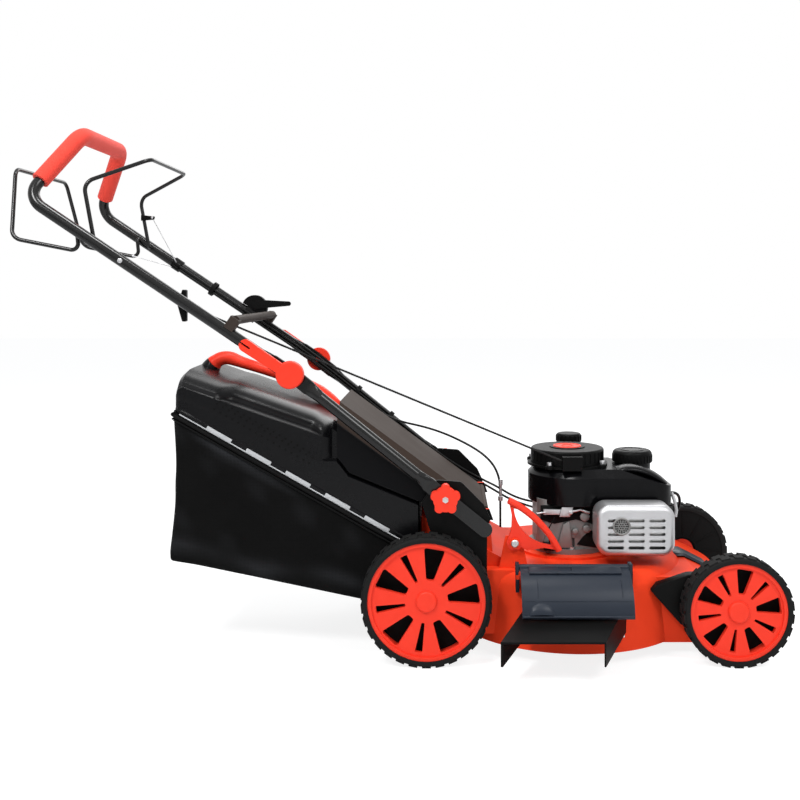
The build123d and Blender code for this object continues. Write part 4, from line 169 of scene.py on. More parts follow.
WEAVE = Weave()
FINISHES: dict[Tone, Finish] = {
    Tone.RED_PAINT: Finish((0.80, 0.052, 0.016), (0.52, 0.03, 0.012), 0.42,
                           grain=260, bump=0.04, shine=0.04),
    Tone.RED_PLASTIC: Finish((0.80, 0.040, 0.018), (0.82, 0.08, 0.05), 0.38,
                             grain=900, bump=0.03, shine=0.16),
    Tone.RED_FOAM: Finish((0.74, 0.045, 0.024), (0.50, 0.025, 0.015), 0.85,
                          grain=1500, bump=0.30, sheen=0.1),
    Tone.TYRE: Finish((0.008, 0.008, 0.008), (0.026, 0.025, 0.023), 0.75,
                      grain=700, bump=0.15, scuff=0.3, shine=0.12),
    Tone.BLACK_PLASTIC: Finish((0.004, 0.004, 0.004), (0.011, 0.011, 0.011), 0.40,
                               grain=1100, bump=0.05, shine=0.06),
    Tone.BLACK_GLOSS: Finish((0.003, 0.003, 0.0035), (0.010, 0.010, 0.012), 0.27,
                             grain=500, bump=0.02, shine=0.14),
    Tone.COWL: Finish((0.002, 0.002, 0.0025), (0.009, 0.009, 0.010), 0.24,
                      grain=420, bump=0.03, shine=0.12),
    Tone.FLAP: Finish((0.014, 0.019, 0.029), (0.035, 0.040, 0.050), 0.36,
                      grain=700, bump=0.05, shine=0.2),
    Tone.BROWN_GLOSS: Finish((0.040, 0.031, 0.027), (0.055, 0.045, 0.040), 0.48,
                             grain=800, bump=0.03, shine=0.03),
    # The lid is black plastic: its brown base colour is a painted reflection of the sky on the top,
    # and the worn colour is its own black, on the sides.
    Tone.LID: Finish((0.034, 0.023, 0.018), (0.0055, 0.0055, 0.006), 0.48,
                     grain=800, bump=0.03, scuff=0.0, shine=0.03, painted_reflection_reach=0.1975),
    Tone.TUBE: Finish((0.002, 0.002, 0.002), (0.012, 0.012, 0.012), 0.20,
                      grain=500, bump=0.006, shine=0.34),
    Tone.STEEL: Finish((0.55, 0.55, 0.54), (0.32, 0.31, 0.30), 0.34,
                       metal=1.0, grain=300, bump=0.02, brushed=True),
    Tone.ZINC: Finish((0.50, 0.50, 0.51), (0.34, 0.34, 0.34), 0.42,
                      metal=0.9, grain=240, bump=0.02),
    Tone.ALLOY: Finish((0.22, 0.22, 0.215), (0.10, 0.10, 0.095), 0.52,
                       metal=0.55, grain=380, bump=0.12, mottle=0.3),
    Tone.SHEATH: Finish((0.005, 0.005, 0.005), (0.014, 0.014, 0.014), 0.40,
                        grain=900, bump=0.03, shine=0.14),
    Tone.ROPE: Finish((0.014, 0.014, 0.014), (0.05, 0.05, 0.05), 0.80,
                      grain=1600, bump=0.10, shine=0.2),
    Tone.CLIP: Finish((0.42, 0.43, 0.44), (0.30, 0.30, 0.30), 0.45, grain=700, bump=0.03),
    Tone.DARK: Finish((0.004, 0.004, 0.004), (0.010, 0.010, 0.010), 0.75,
                      grain=500, bump=0.03, shine=0.1),
}

SLOTS: dict[Tone, str] = {
    Tone.RED_PLASTIC: "red_plastic",
    Tone.RED_FOAM: "red_foam",
    Tone.BLACK_GLOSS: "black_gloss",
    Tone.FABRIC: "bag_mesh",
    Tone.STEEL: "steel",
    Tone.ZINC: "steel",
    Tone.ALLOY: "cast_alloy",
}


def limited(value: float) -> float:
    """Holds a value between 0 and 1."""
    return min(max(value, 0.0), 1.0)


def circle_turns(count: int) -> list[float]:
    """Angles that share out a full circle."""
    return [2 * math.pi * k / count for k in range(count)]


class Nodes:
    """Small helpers to wire node trees."""

    @staticmethod
    def add(tree: NodeTree, kind: str,
            **values: str | NodeTree) -> Node:
        """Adds a node and sets its properties.

        Args:
            tree: tree to add to.
            kind: Blender's node type.
            values: properties by name.

        Returns:
            The node.
        """
        node = tree.nodes.new(kind)
        for key, value in values.items():
            setattr(node, key, value)
        return node

    @staticmethod
    def fill(node: Node, values: dict[str, float | Sequence[float]]) -> None:
        """Sets a node's inputs by name."""
        for key, value in values.items():
            node.inputs[key].default_value = value

    @staticmethod
    def wire(tree: NodeTree, *links: Link) -> None:
        """Links outputs to inputs, pair by pair."""
        for start, end in links:
            tree.links.new(start, end)

    @staticmethod
    def math(tree: NodeTree, operation: str, a: Feed,
             b: Feed) -> NodeSocket:
        """Adds a Math node.

        Args:
            tree: tree to add to.
            operation: Blender's operation name.
            a: first socket or number.
            b: second socket or number.

        Returns:
            The node's output socket.
        """
        node = Nodes.add(tree, "ShaderNodeMath", operation=operation)
        for socket, value in zip(node.inputs, (a, b)):
            if isinstance(value, NodeSocket):
                tree.links.new(value, socket)
            else:
                socket.default_value = value
        return node.outputs[0]

    @staticmethod
    def group(name: str, inputs: dict[str, str], outputs: dict[str, str],
              kind: str = "ShaderNodeTree",
              ) -> tuple[NodeTree, Node, Node]:
        """Makes an empty node group with named sockets.

        Args:
            name: group name.
            inputs: socket name to socket type.
            outputs: socket name to socket type.
            kind: tree type.

        Returns:
            The tree, its input node and its output node.
        """
        tree = bpy.data.node_groups.new(name, kind)
        for key, socket in inputs.items():
            tree.interface.new_socket(key, in_out="INPUT", socket_type=socket)
        for key, socket in outputs.items():
            tree.interface.new_socket(key, in_out="OUTPUT", socket_type=socket)
        return tree, tree.nodes.new("NodeGroupInput"), tree.nodes.new("NodeGroupOutput")


class FinishBook:
    """Makes each finish's material once and hands it out."""

    DEEP = 0.72
    BRUSHED = 0.06
    ROUGH_SPREAD = 0.16
    SCUFF_ROUGH = 0.6

    def __init__(self) -> None:
        """Builds the shared shader groups."""
        self.made: dict[Tone, Material] = {}
        self.grain = self._grain_group()
        self.scuffs = self._scuff_group()
        self.weave = self._weave_group()

    def _grain_group(self) -> NodeTree:
        """Fine grain height and a broad mottle.

        Returns:
            The group's tree.
        """
        floats = "NodeSocketFloat"
        tree, given, result = Nodes.group(
            "surface_grain",
            {"Vector": "NodeSocketVector", "Scale": floats, "Stretch": floats},
            {"Height": floats, "Mottle": floats},
        )
        split = Nodes.add(tree, "ShaderNodeSeparateXYZ")
        join = Nodes.add(tree, "ShaderNodeCombineXYZ")
        tree.links.new(given.outputs["Vector"], split.inputs[0])
        drawn = Nodes.math(tree, "MULTIPLY", split.outputs[0], given.outputs["Stretch"])
        fine = Nodes.add(tree, "ShaderNodeTexNoise")
        Nodes.fill(fine, {"Detail": 3.0})
        broad = Nodes.add(tree, "ShaderNodeTexNoise")
        Nodes.fill(broad, {"Scale": 7.0, "Detail": 4.0})
        Nodes.wire(tree, (drawn, join.inputs[0]), (split.outputs[1], join.inputs[1]),
                   (split.outputs[2], join.inputs[2]), (join.outputs[0], fine.inputs["Vector"]),
                   (given.outputs["Scale"], fine.inputs["Scale"]),
                   (given.outputs["Vector"], broad.inputs["Vector"]),
                   (fine.outputs["Fac"], result.inputs["Height"]),
                   (broad.outputs["Fac"], result.inputs["Mottle"]))
        return tree

    def _scuff_group(self) -> NodeTree:
        """Mask of sparse scuffs and settled dust.

        Returns:
            The group's tree.
        """
        floats = "NodeSocketFloat"
        tree, given, result = Nodes.group(
            "scuff_mask", {"Vector": "NodeSocketVector", "Amount": floats}, {"Mask": floats}
        )
        noise = Nodes.add(tree, "ShaderNodeTexNoise")
        Nodes.fill(noise, {"Scale": 38.0, "Detail": 6.0, "Roughness": 0.7})
        tree.links.new(given.outputs["Vector"], noise.inputs["Vector"])
        ramp = Nodes.add(tree, "ShaderNodeMapRange")
        Nodes.fill(ramp, {"From Min": 0.52, "From Max": 0.80})
        tree.links.new(noise.outputs["Fac"], ramp.inputs["Value"])
        mask = Nodes.math(tree, "MULTIPLY", ramp.outputs[0], given.outputs["Amount"])
        tree.links.new(mask, result.inputs["Mask"])
        return tree

    def _weave_group(self) -> NodeTree:
        """Plain open weave from the cloth's own map, in threads per metre.

        Returns:
            The group's tree.
        """
        floats = "NodeSocketFloat"
        tree, given, result = Nodes.group(
            "open_weave",
            {"Vector": "NodeSocketVector", "Threads": floats},
            {"Height": floats, "Hole": floats},
        )
        split = Nodes.add(tree, "ShaderNodeSeparateXYZ")
        tree.links.new(given.outputs["Vector"], split.inputs[0])
        waves = []
        for axis in (0, 1):
            turns = Nodes.math(tree, "MULTIPLY", split.outputs[axis], given.outputs["Threads"])
            angle = Nodes.math(tree, "MULTIPLY", turns, 2 * math.pi)
            waves.append(Nodes.math(tree, "SINE", angle, 0.0))
        tree.links.new(Nodes.math(tree, "MULTIPLY", waves[0], waves[1]), result.inputs["Height"])
        deep = Nodes.math(tree, "MAXIMUM", waves[0], waves[1])
        tree.links.new(Nodes.math(tree, "LESS_THAN", deep, -0.25), result.inputs["Hole"])
        return tree

    def get(self, tone: Tone) -> Material:
        """Hands out the material of a finish, made on first use.

        Args:
            tone: the finish.

        Returns:
            Its material.
        """
        if tone not in self.made:
            self.made[tone] = self._cloth() if tone is Tone.FABRIC else self._plain(tone)
        return self.made[tone]

    def _blank(self, name: str) -> tuple[Material, NodeTree, Node]:
        """Makes a material with only its shader and output.

        Args:
            name: material name.

        Returns:
            The material, its tree and its shader.
        """
        material = bpy.data.materials.new(name)
        material.use_nodes = True
        tree = material.node_tree
        shader = next(n for n in tree.nodes if n.type == "BSDF_PRINCIPLED")
        return material, tree, shader

    def _group_node(self, tree: NodeTree, group: NodeTree,
                    vector: NodeSocket) -> Node:
        """Places a shared group and feeds its Vector.

        Args:
            tree: tree to add to.
            group: the shared group.
            vector: socket that gives the place on the surface.

        Returns:
            The group's node.
        """
        node = Nodes.add(tree, "ShaderNodeGroup", node_tree=group)
        tree.links.new(vector, node.inputs["Vector"])
        return node

    def _mix(self, tree: NodeTree, share: NodeSocket, first: Colour,
             second: Colour) -> NodeSocket:
        """Mixes two colours by a mask.

        Args:
            tree: tree to add to.
            share: the mask.
            first: colour where the mask is black.
            second: colour where it is white.

        Returns:
            The mixed colour's socket.
        """
        node = Nodes.add(tree, "ShaderNodeMix", data_type="RGBA")
        tree.links.new(share, node.inputs[0])
        for socket, value in ((node.inputs[6], first), (node.inputs[7], second)):
            if isinstance(value, NodeSocket):
                tree.links.new(value, socket)
            else:
                socket.default_value = (*value, 1.0)
        return node.outputs[2]

    def _plain(self, tone: Tone) -> Material:
        """Moulded, painted or metal finish with grain, mottle and scuffs, and, where given, a
        painted reflection on the top.

        Args:
            tone: the finish.

        Returns:
            Its material.
        """
        finish = FINISHES[tone]
        material, tree, shader = self._blank(tone.value)
        place = Nodes.add(tree, "ShaderNodeTexCoord").outputs["Object"]
        grain = self._group_node(tree, self.grain, place)
        stretched = self.BRUSHED if finish.brushed else 1.0
        Nodes.fill(grain, {"Scale": finish.grain, "Stretch": stretched})
        scuff = self._group_node(tree, self.scuffs, place)
        Nodes.fill(scuff, {"Amount": finish.scuff})
        shade = Nodes.math(tree, "MULTIPLY", grain.outputs["Mottle"], 2 * finish.mottle)
        deep = tuple(c * self.DEEP for c in finish.colour)
        colour = self._mix(tree, shade, finish.colour, deep)
        colour = self._mix(tree, scuff.outputs["Mask"], colour, finish.worn)
        # The top keeps the base colour as a painted reflection; the sides past the reach turn to
        # the worn colour.
        if finish.painted_reflection_reach:
            split = Nodes.add(tree, "ShaderNodeSeparateXYZ")
            tree.links.new(place, split.inputs[0])
            away = Nodes.math(tree, "ABSOLUTE", split.outputs[1], 0.0)
            beyond_reflection = Nodes.math(tree, "GREATER_THAN", away, finish.painted_reflection_reach)
            colour = self._mix(tree, beyond_reflection, colour, finish.worn)
        spread = Nodes.math(tree, "MULTIPLY", grain.outputs["Mottle"], self.ROUGH_SPREAD)
        rough = Nodes.math(tree, "ADD", spread, finish.rough - self.ROUGH_SPREAD / 2)
        dull = Nodes.math(tree, "MULTIPLY", scuff.outputs["Mask"], self.SCUFF_ROUGH)
        rough = Nodes.math(tree, "ADD", rough, dull)
        self._surface(tree, shader, colour, rough, grain.outputs["Height"], finish.bump)
        Nodes.fill(shader, {"Metallic": finish.metal, "Sheen Weight": finish.sheen,
                            "Specular IOR Level": finish.shine})
        return material

    def _surface(self, tree: NodeTree, shader: Node,
                 colour: NodeSocket, rough: NodeSocket,
                 height: NodeSocket, depth: float) -> None:
        """Feeds a shader its colour, its roughness and its grain.

        Args:
            tree: the material's tree.
            shader: its shader.
            colour: base colour.
            rough: roughness.
            height: height of the grain.
            depth: depth of the grain, in millimetres.
        """
        bump = Nodes.add(tree, "ShaderNodeBump")
        Nodes.fill(bump, {"Distance": depth * MM})
        Nodes.wire(tree, (colour, shader.inputs["Base Color"]), (rough, shader.inputs["Roughness"]),
                   (height, bump.inputs["Height"]), (bump.outputs[0], shader.inputs["Normal"]))

    def _cloth(self) -> Material:
        """Woven bag mesh that follows the cloth's own map.

        Returns:
            Its material.
        """
        material, tree, shader = self._blank(Tone.FABRIC.value)
        place = Nodes.add(tree, "ShaderNodeUVMap", uv_map="weave").outputs[0]
        weave = self._group_node(tree, self.weave, place)
        Nodes.fill(weave, {"Threads": WEAVE.threads})
        around = Nodes.add(tree, "ShaderNodeTexCoord").outputs["Object"]
        grain = self._group_node(tree, self.grain, around)
        Nodes.fill(grain, {"Scale": WEAVE.grain, "Stretch": 1.0})
        fold = Nodes.add(tree, "ShaderNodeAttribute", attribute_name="fold").outputs["Fac"]
        colour = self._mix(tree, grain.outputs["Mottle"], WEAVE.hollow, WEAVE.thread)
        # Painted highlights along the cloth's folds, where the fold attribute is high.
        colour = self._mix(tree, fold, colour, WEAVE.fold_highlight)
        colour = self._mix(tree, weave.outputs["Hole"], colour, WEAVE.hollow)
        spread = Nodes.math(tree, "MULTIPLY", grain.outputs["Mottle"], WEAVE.rough_spread)
        rough = Nodes.math(tree, "ADD", spread, WEAVE.rough)
        self._surface(tree, shader, colour, rough, weave.outputs["Height"], WEAVE.bump)
        Nodes.fill(shader, {"Sheen Weight": WEAVE.sheen, "Specular IOR Level": WEAVE.shine})
        return material


class Shape:
    """A mesh in the making, in millimetres, that becomes one piece."""

    def __init__(self) -> None:
        """Starts an empty mesh."""
        self.mesh = bmesh.new()

    def vert(self, point: Sequence[float]) -> BMVert:
        """Adds a vertex."""
        return self.mesh.verts.new(Vector(point))

    def grid(self, rows: Sequence[Sequence[Point]],
             close: bool = False) -> list[list[BMVert]]:
        """Skins rows of points.

        Args:
            rows: rows with the same number of points.
            close: whether each row's end joins its start.

        Returns:
            The vertices, row by row.
        """
        verts = [[self.vert(p) for p in row] for row in rows]
        for a, b in zip(verts, verts[1:]):
            count = len(a)
            for i in range(count if close else count - 1):
                j = (i + 1) % count
                self.mesh.faces.new((a[i], a[j], b[j], b[i]))
        return verts

    def tube(self, path: Sequence[Vector | Point], radius: float | Sequence[Pair],
             sides: int = 10) -> None:
        """Sweeps a round or oval section along points.

        Args:
            path: points of the centre line.
            radius: tube radius, or half width and half height at each point.
            sides: corners of the section.
        """
        rows = []
        points = [Vector(p) for p in path]
        up = UP
        for i, p in enumerate(points):
            before = points[max(i - 1, 0)]
            after = points[min(i + 1, len(points) - 1)]
            along = (after - before).normalized()
            side = along.cross(up)
            if side.length < 1e-3:
                side = along.cross(LEFT)
            side.normalize()
            up = side.cross(along).normalized()
            wide, tall = (radius, radius) if isinstance(radius, (int, float)) else radius[i]
            ring = []
            for turn in circle_turns(sides):
                ring.append(tuple(p + side * wide * math.cos(turn) + up * tall * math.sin(turn)))
            rows.append(ring)
        verts = self.grid(rows, close=True)
        self.mesh.faces.new(verts[0][::-1])
        self.mesh.faces.new(verts[-1])

    def lathe(self, profile: Sequence[Pair], centre: Point, axis: Vector, sides: int = 32,
              ring: bool = False) -> None:
        """Turns a profile of (radius, height) about an axis through a point.

        Args:
            profile: radius and height of each corner.
            centre: point on the axis where heights start.
            axis: direction of the axis.
            sides: corners of the circle.
            ring: whether the profile is closed, so that the middle stays open.
        """
        axis = axis.normalized()
        helper = Vector((1, 0, 0)) if abs(axis.x) < 0.9 else LEFT
        u = axis.cross(helper).normalized()
        v = axis.cross(u)
        rows = []
        for radius, height in profile:
            base = Vector(centre) + axis * height
            reach = max(radius, 0.01)
            circle = []
            for turn in circle_turns(sides):
                circle.append(tuple(base + (u * math.cos(turn) + v * math.sin(turn)) * reach))
            rows.append(circle)
        if ring:
            self.grid(rows + rows[:1], close=True)
            return
        verts = self.grid(rows, close=True)
        self.mesh.faces.new(verts[0][::-1])
        self.mesh.faces.new(verts[-1])

    def block(self, low: Point, high: Point) -> None:
        """Adds a box.

        Args:
            low: its lowest corner.
            high: its highest corner.
        """
        ends = tuple(zip(low, high))
        corners = [self.vert((x, y, z)) for x in ends[0] for y in ends[1] for z in ends[2]]
        for face in ((0, 1, 3, 2), (4, 6, 7, 5), (0, 4, 5, 1), (2, 3, 7, 6), (0, 2, 6, 4),
                     (1, 5, 7, 3)):
            self.mesh.faces.new([corners[i] for i in face])

    def plate(self, outline: Sequence[Pair], y0: float, y1: float) -> None:
        """Adds a flat plate of an (x, z) outline between two lateral places."""
        self.span([(x, y0, z) for x, z in outline], [(x, y1, z) for x, z in outline])

    def span(self, first: Sequence[Point], second: Sequence[Point]) -> None:
        """Adds a closed body between two outlines.

        Args:
            first: points of one outline.
            second: as many points of the other.
        """
        front = [self.vert(p) for p in first]
        back = [self.vert(p) for p in second]
        count = len(first)
        for i in range(count):
            j = (i + 1) % count
            self.mesh.faces.new((front[i], front[j], back[j], back[i]))
        self.mesh.faces.new(front[::-1])
        self.mesh.faces.new(back)

    def done(self, name: str, material: Material, bevel: float = 0.0, wall: float = 0.0,
             smooth: float = CREASE, levels: int = 0) -> Object:
        """Makes the piece.

        Args:
            name: piece name.
            material: its material.
            bevel: width of the broken edges.
            wall: thickness that an open shell gets, inward.
            smooth: edges sharper than this angle stay sharp.
            levels: subdivision levels.

        Returns:
            The object, at the origin, in metres.
        """
        bmesh.ops.remove_doubles(self.mesh, verts=self.mesh.verts, dist=0.005)
        bmesh.ops.recalc_face_normals(self.mesh, faces=self.mesh.faces)
        bmesh.ops.scale(self.mesh, vec=(MM, MM, MM), verts=self.mesh.verts)
        data = bpy.data.meshes.new(name)
        self.mesh.to_mesh(data)
        self.mesh.free()
        data.materials.append(material)
        piece = bpy.data.objects.new(name, data)
        bpy.context.scene.collection.objects.link(piece)
        if wall:
            solid = piece.modifiers.new("wall", "SOLIDIFY")
            solid.thickness = wall * MM
            solid.offset = -1.0
        break_edges(piece, bevel)
        if levels:
            sub = piece.modifiers.new("round", "SUBSURF")
            sub.levels = levels
            sub.render_levels = levels
        flatten(piece)
        shade(piece, smooth)
        return piece


def break_edges(piece: Object, width: float) -> None:
    """Breaks a piece's sharp edges.

    Args:
        piece: the piece.
        width: width of the broken edges, in millimetres. Zero leaves them sharp.
    """
    if width:
        edge = piece.modifiers.new("edges", "BEVEL")
        edge.width = width * MM
        edge.segments = 2
        edge.limit_method = "ANGLE"


def shade(piece: Object, smooth: float) -> None:
    """Shades a piece smooth, up to an angle in degrees."""
    piece.data.shade_smooth()
    piece.data.set_sharp_from_angle(angle=math.radians(smooth))


def flatten(piece: Object) -> None:
    """Applies a piece's modifiers to its mesh.

    Args:
        piece: the piece.
    """
    if not piece.modifiers:
        return
    bpy.context.view_layer.update()
    seen = piece.evaluated_get(bpy.context.evaluated_depsgraph_get())
    data = bpy.data.meshes.new_from_object(seen)
    piece.modifiers.clear()
    piece.data = data


class Repeats:
    """Geometry Nodes trees that set one small shape on many points."""

    def __init__(self) -> None:
        """Builds both trees."""
        self.studs = self._tree("studs_on_points", "GeometryNodeMeshCylinder")
        self.blocks = self._tree("blocks_on_points", "GeometryNodeMeshCube")

    def _tree(self, name: str, kind: str) -> NodeTree:
        """Makes a tree that sets cylinders or blocks on points, turned by the points' own turn.

        Args:
            name: tree name.
            kind: Blender's node type of the shape.

        Returns:
            The tree.
        """
        inputs = {"Points": "NodeSocketGeometry", "Finish": "NodeSocketMaterial"}
        if kind.endswith("Cylinder"):
            inputs |= {"Radius": "NodeSocketFloat", "Height": "NodeSocketFloat"}
            inputs["Sides"] = "NodeSocketInt"
        else:
            inputs["Size"] = "NodeSocketVector"
        outputs = {"Geometry": "NodeSocketGeometry"}
        tree, given, result = Nodes.group(name, inputs, outputs, "GeometryNodeTree")
        form = Nodes.add(tree, kind)
        if kind.endswith("Cylinder"):
            Nodes.wire(tree, (given.outputs["Sides"], form.inputs["Vertices"]),
                       (given.outputs["Radius"], form.inputs["Radius"]),
                       (given.outputs["Height"], form.inputs["Depth"]))
        else:
            Nodes.wire(tree, (given.outputs["Size"], form.inputs["Size"]))
        turn = Nodes.add(tree, "GeometryNodeInputNamedAttribute", data_type="FLOAT_VECTOR")
        turn.inputs["Name"].default_value = "turn"
        put = Nodes.add(tree, "GeometryNodeInstanceOnPoints")
        real = Nodes.add(tree, "GeometryNodeRealizeInstances")
        paint = Nodes.add(tree, "GeometryNodeSetMaterial")
        Nodes.wire(tree, (given.outputs["Points"], put.inputs["Points"]),
                   (form.outputs["Mesh"], put.inputs["Instance"]),
                   (turn.outputs["Attribute"], put.inputs["Rotation"]),
                   (put.outputs[0], real.inputs[0]),
                   (real.outputs[0], paint.inputs["Geometry"]),
                   (given.outputs["Finish"], paint.inputs["Material"]),
                   (paint.outputs[0], result.inputs[0]))
        return tree

    def make(self, name: str, tree: NodeTree, places: Sequence[Placing],
             material: Material, sizes: dict[str, Size],
             bevel: float = 0.0) -> Object:
        """Makes one piece of many small shapes.

        Args:
            name: piece name.
            tree: one of this class's trees.
            places: centre in millimetres and turn in radians of each shape.
            material: their material.
            sizes: the tree's sizes by input name, in metres.
            bevel: width of the broken edges, in millimetres.

        Returns:
            The piece as a plain mesh.
        """
        data = bpy.data.meshes.new(name + "_points")
        data.from_pydata([tuple(c * MM for c in centre) for centre, _ in places], [], [])
        turn = data.attributes.new("turn", "FLOAT_VECTOR", "POINT")
        turn.data.foreach_set("vector", [c for _, angles in places for c in angles])
        holder = bpy.data.objects.new(name, data)
        bpy.context.scene.collection.objects.link(holder)
        modifier = holder.modifiers.new("repeat", "NODES")
        modifier.node_group = tree
        sockets = {s.name: s.identifier for s in tree.interface.items_tree if s.in_out == "INPUT"}
        modifier[sockets["Finish"]] = material
        for key, value in sizes.items():
            modifier[sockets[key]] = value
        break_edges(holder, bevel)
        flatten(holder)
        if not holder.data.materials:
            holder.data.materials.append(material)
        shade(holder, CREASE)
        return holder


def settle(piece: Object, body: str, slot: str, replaces: Iterable[str] = ()) -> None:
    """Rides a finished piece on its body.

    Args:
        piece: the finished piece.
        body: CAD body that carries it.
        slot: material slot; not used.
        replaces: CAD nodes that the piece stands for.
    """
    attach(piece, body)
    if replaces:
        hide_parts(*replaces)
    LOG.info("%s rides on %s", piece.name, body)


def stretch(piece: Object, first: str, second: str, start: Point, end: Point, slot: str,
            replaces: Iterable[str] = ()) -> None:
    """Bakes a finished piece's placing into its mesh, where it spans one joint.

    Args:
        piece: the finished piece.
        first: CAD body at the start.
        second: CAD body at the end.
        start: where the span starts, in millimetres; not used.
        end: where the span ends, in millimetres; not used.
        slot: material slot; not used.
        replaces: CAD nodes that the piece stands for.
    """
    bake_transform(piece)
    if replaces:
        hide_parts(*replaces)
    LOG.info("%s bends between %s and %s", piece.name, first, second)


def smooth_route(route: Sequence[Point], steps: int = 12) -> list[Vector]:
    """Points along the smooth spline that has a route's points as its controls.

    Args:
        route: control points in millimetres.
        steps: points per control run.

    Returns:
        The points, in millimetres.
    """
    data = bpy.data.curves.new("route", "CURVE")
    data.dimensions = "3D"
    data.resolution_u = steps
    spline = data.splines.new("NURBS")
    spline.points.add(len(route) - 1)
    for control, point in zip(spline.points, route):
        control.co = (*point, 1.0)
    spline.order_u = 3
    spline.use_endpoint_u = True
    holder = bpy.data.objects.new("route", data)
    bpy.context.scene.collection.objects.link(holder)
    bpy.context.view_layer.update()
    seen = holder.evaluated_get(bpy.context.evaluated_depsgraph_get())
    mesh = bpy.data.meshes.new_from_object(seen)
    points = [v.co.copy() for v in mesh.vertices]
    bpy.data.objects.remove(holder)
    bpy.data.curves.remove(data)
    bpy.data.meshes.remove(mesh)
    return points


@dataclass(frozen=True)
class HandleLine:
    """The straight lines of the folding handle, as the frame has them."""

    knob: Pair = (-292.0, 352.0)
    lower_angle: float = 38.8
    lower_span: float = 429.6
    upper_angle: float = 33.85
    upper_span: float = 691.2
    lower_y: float = 226.0
    upper_y: float = 235.4
    tube: float = 12.5

    @staticmethod
    def on_line(start: Pair, angle: float, distance: float, lift: float = 0.0) -> Pair:
        """A place up a rising line.

        Args:
            start: where the line starts.
            angle: how steep it is, in degrees.
            distance: distance along it.
            lift: height square to it.

        Returns:
            The (x, z) place.
        """
        turn = math.radians(angle)
        x = start[0] - distance * math.cos(turn) + lift * math.sin(turn)
        z = start[1] + distance * math.sin(turn) + lift * math.cos(turn)
        return (x, z)

    @property
    def fold(self) -> Pair:
        """Place of the fold joint."""
        return self.on_line(self.knob, self.lower_angle, self.lower_span)

    def low(self, distance: float, lift: float = 0.0) -> Pair:
        """A place along the lower tubes."""
        return self.on_line(self.knob, self.lower_angle, distance, lift)

    def high(self, distance: float, lift: float = 0.0) -> Pair:
        """A place along the upper tubes."""
        return self.on_line(self.fold, self.upper_angle, distance, lift)

    def rise(self, upper: bool) -> Vector:
        """Direction of the upper or the lower tubes."""
        angle = math.radians(self.upper_angle if upper else self.lower_angle)
        return Vector((-math.cos(angle), 0, math.sin(angle)))

    def beside(self, upper: bool, distance: float, turn: float, gap: float,
               radius: float) -> Point:
        """Centre of a cable that lies on the inner side of a left tube.

        Args:
            upper: whether the tube is the upper one.
            distance: place along the tube.
            turn: how far round the tube, in degrees.
            gap: gap between tube and cable.
            radius: the cable's radius.

        Returns:
            The centre.
        """
        reach = self.tube + gap + radius
        angle = math.radians(turn)
        lift = reach * math.sin(angle)
        x, z = self.high(distance, lift) if upper else self.low(distance, lift)
        side = self.upper_y if upper else self.lower_y
        return (x, side - reach * math.cos(angle), z)


HANDLE = HandleLine()


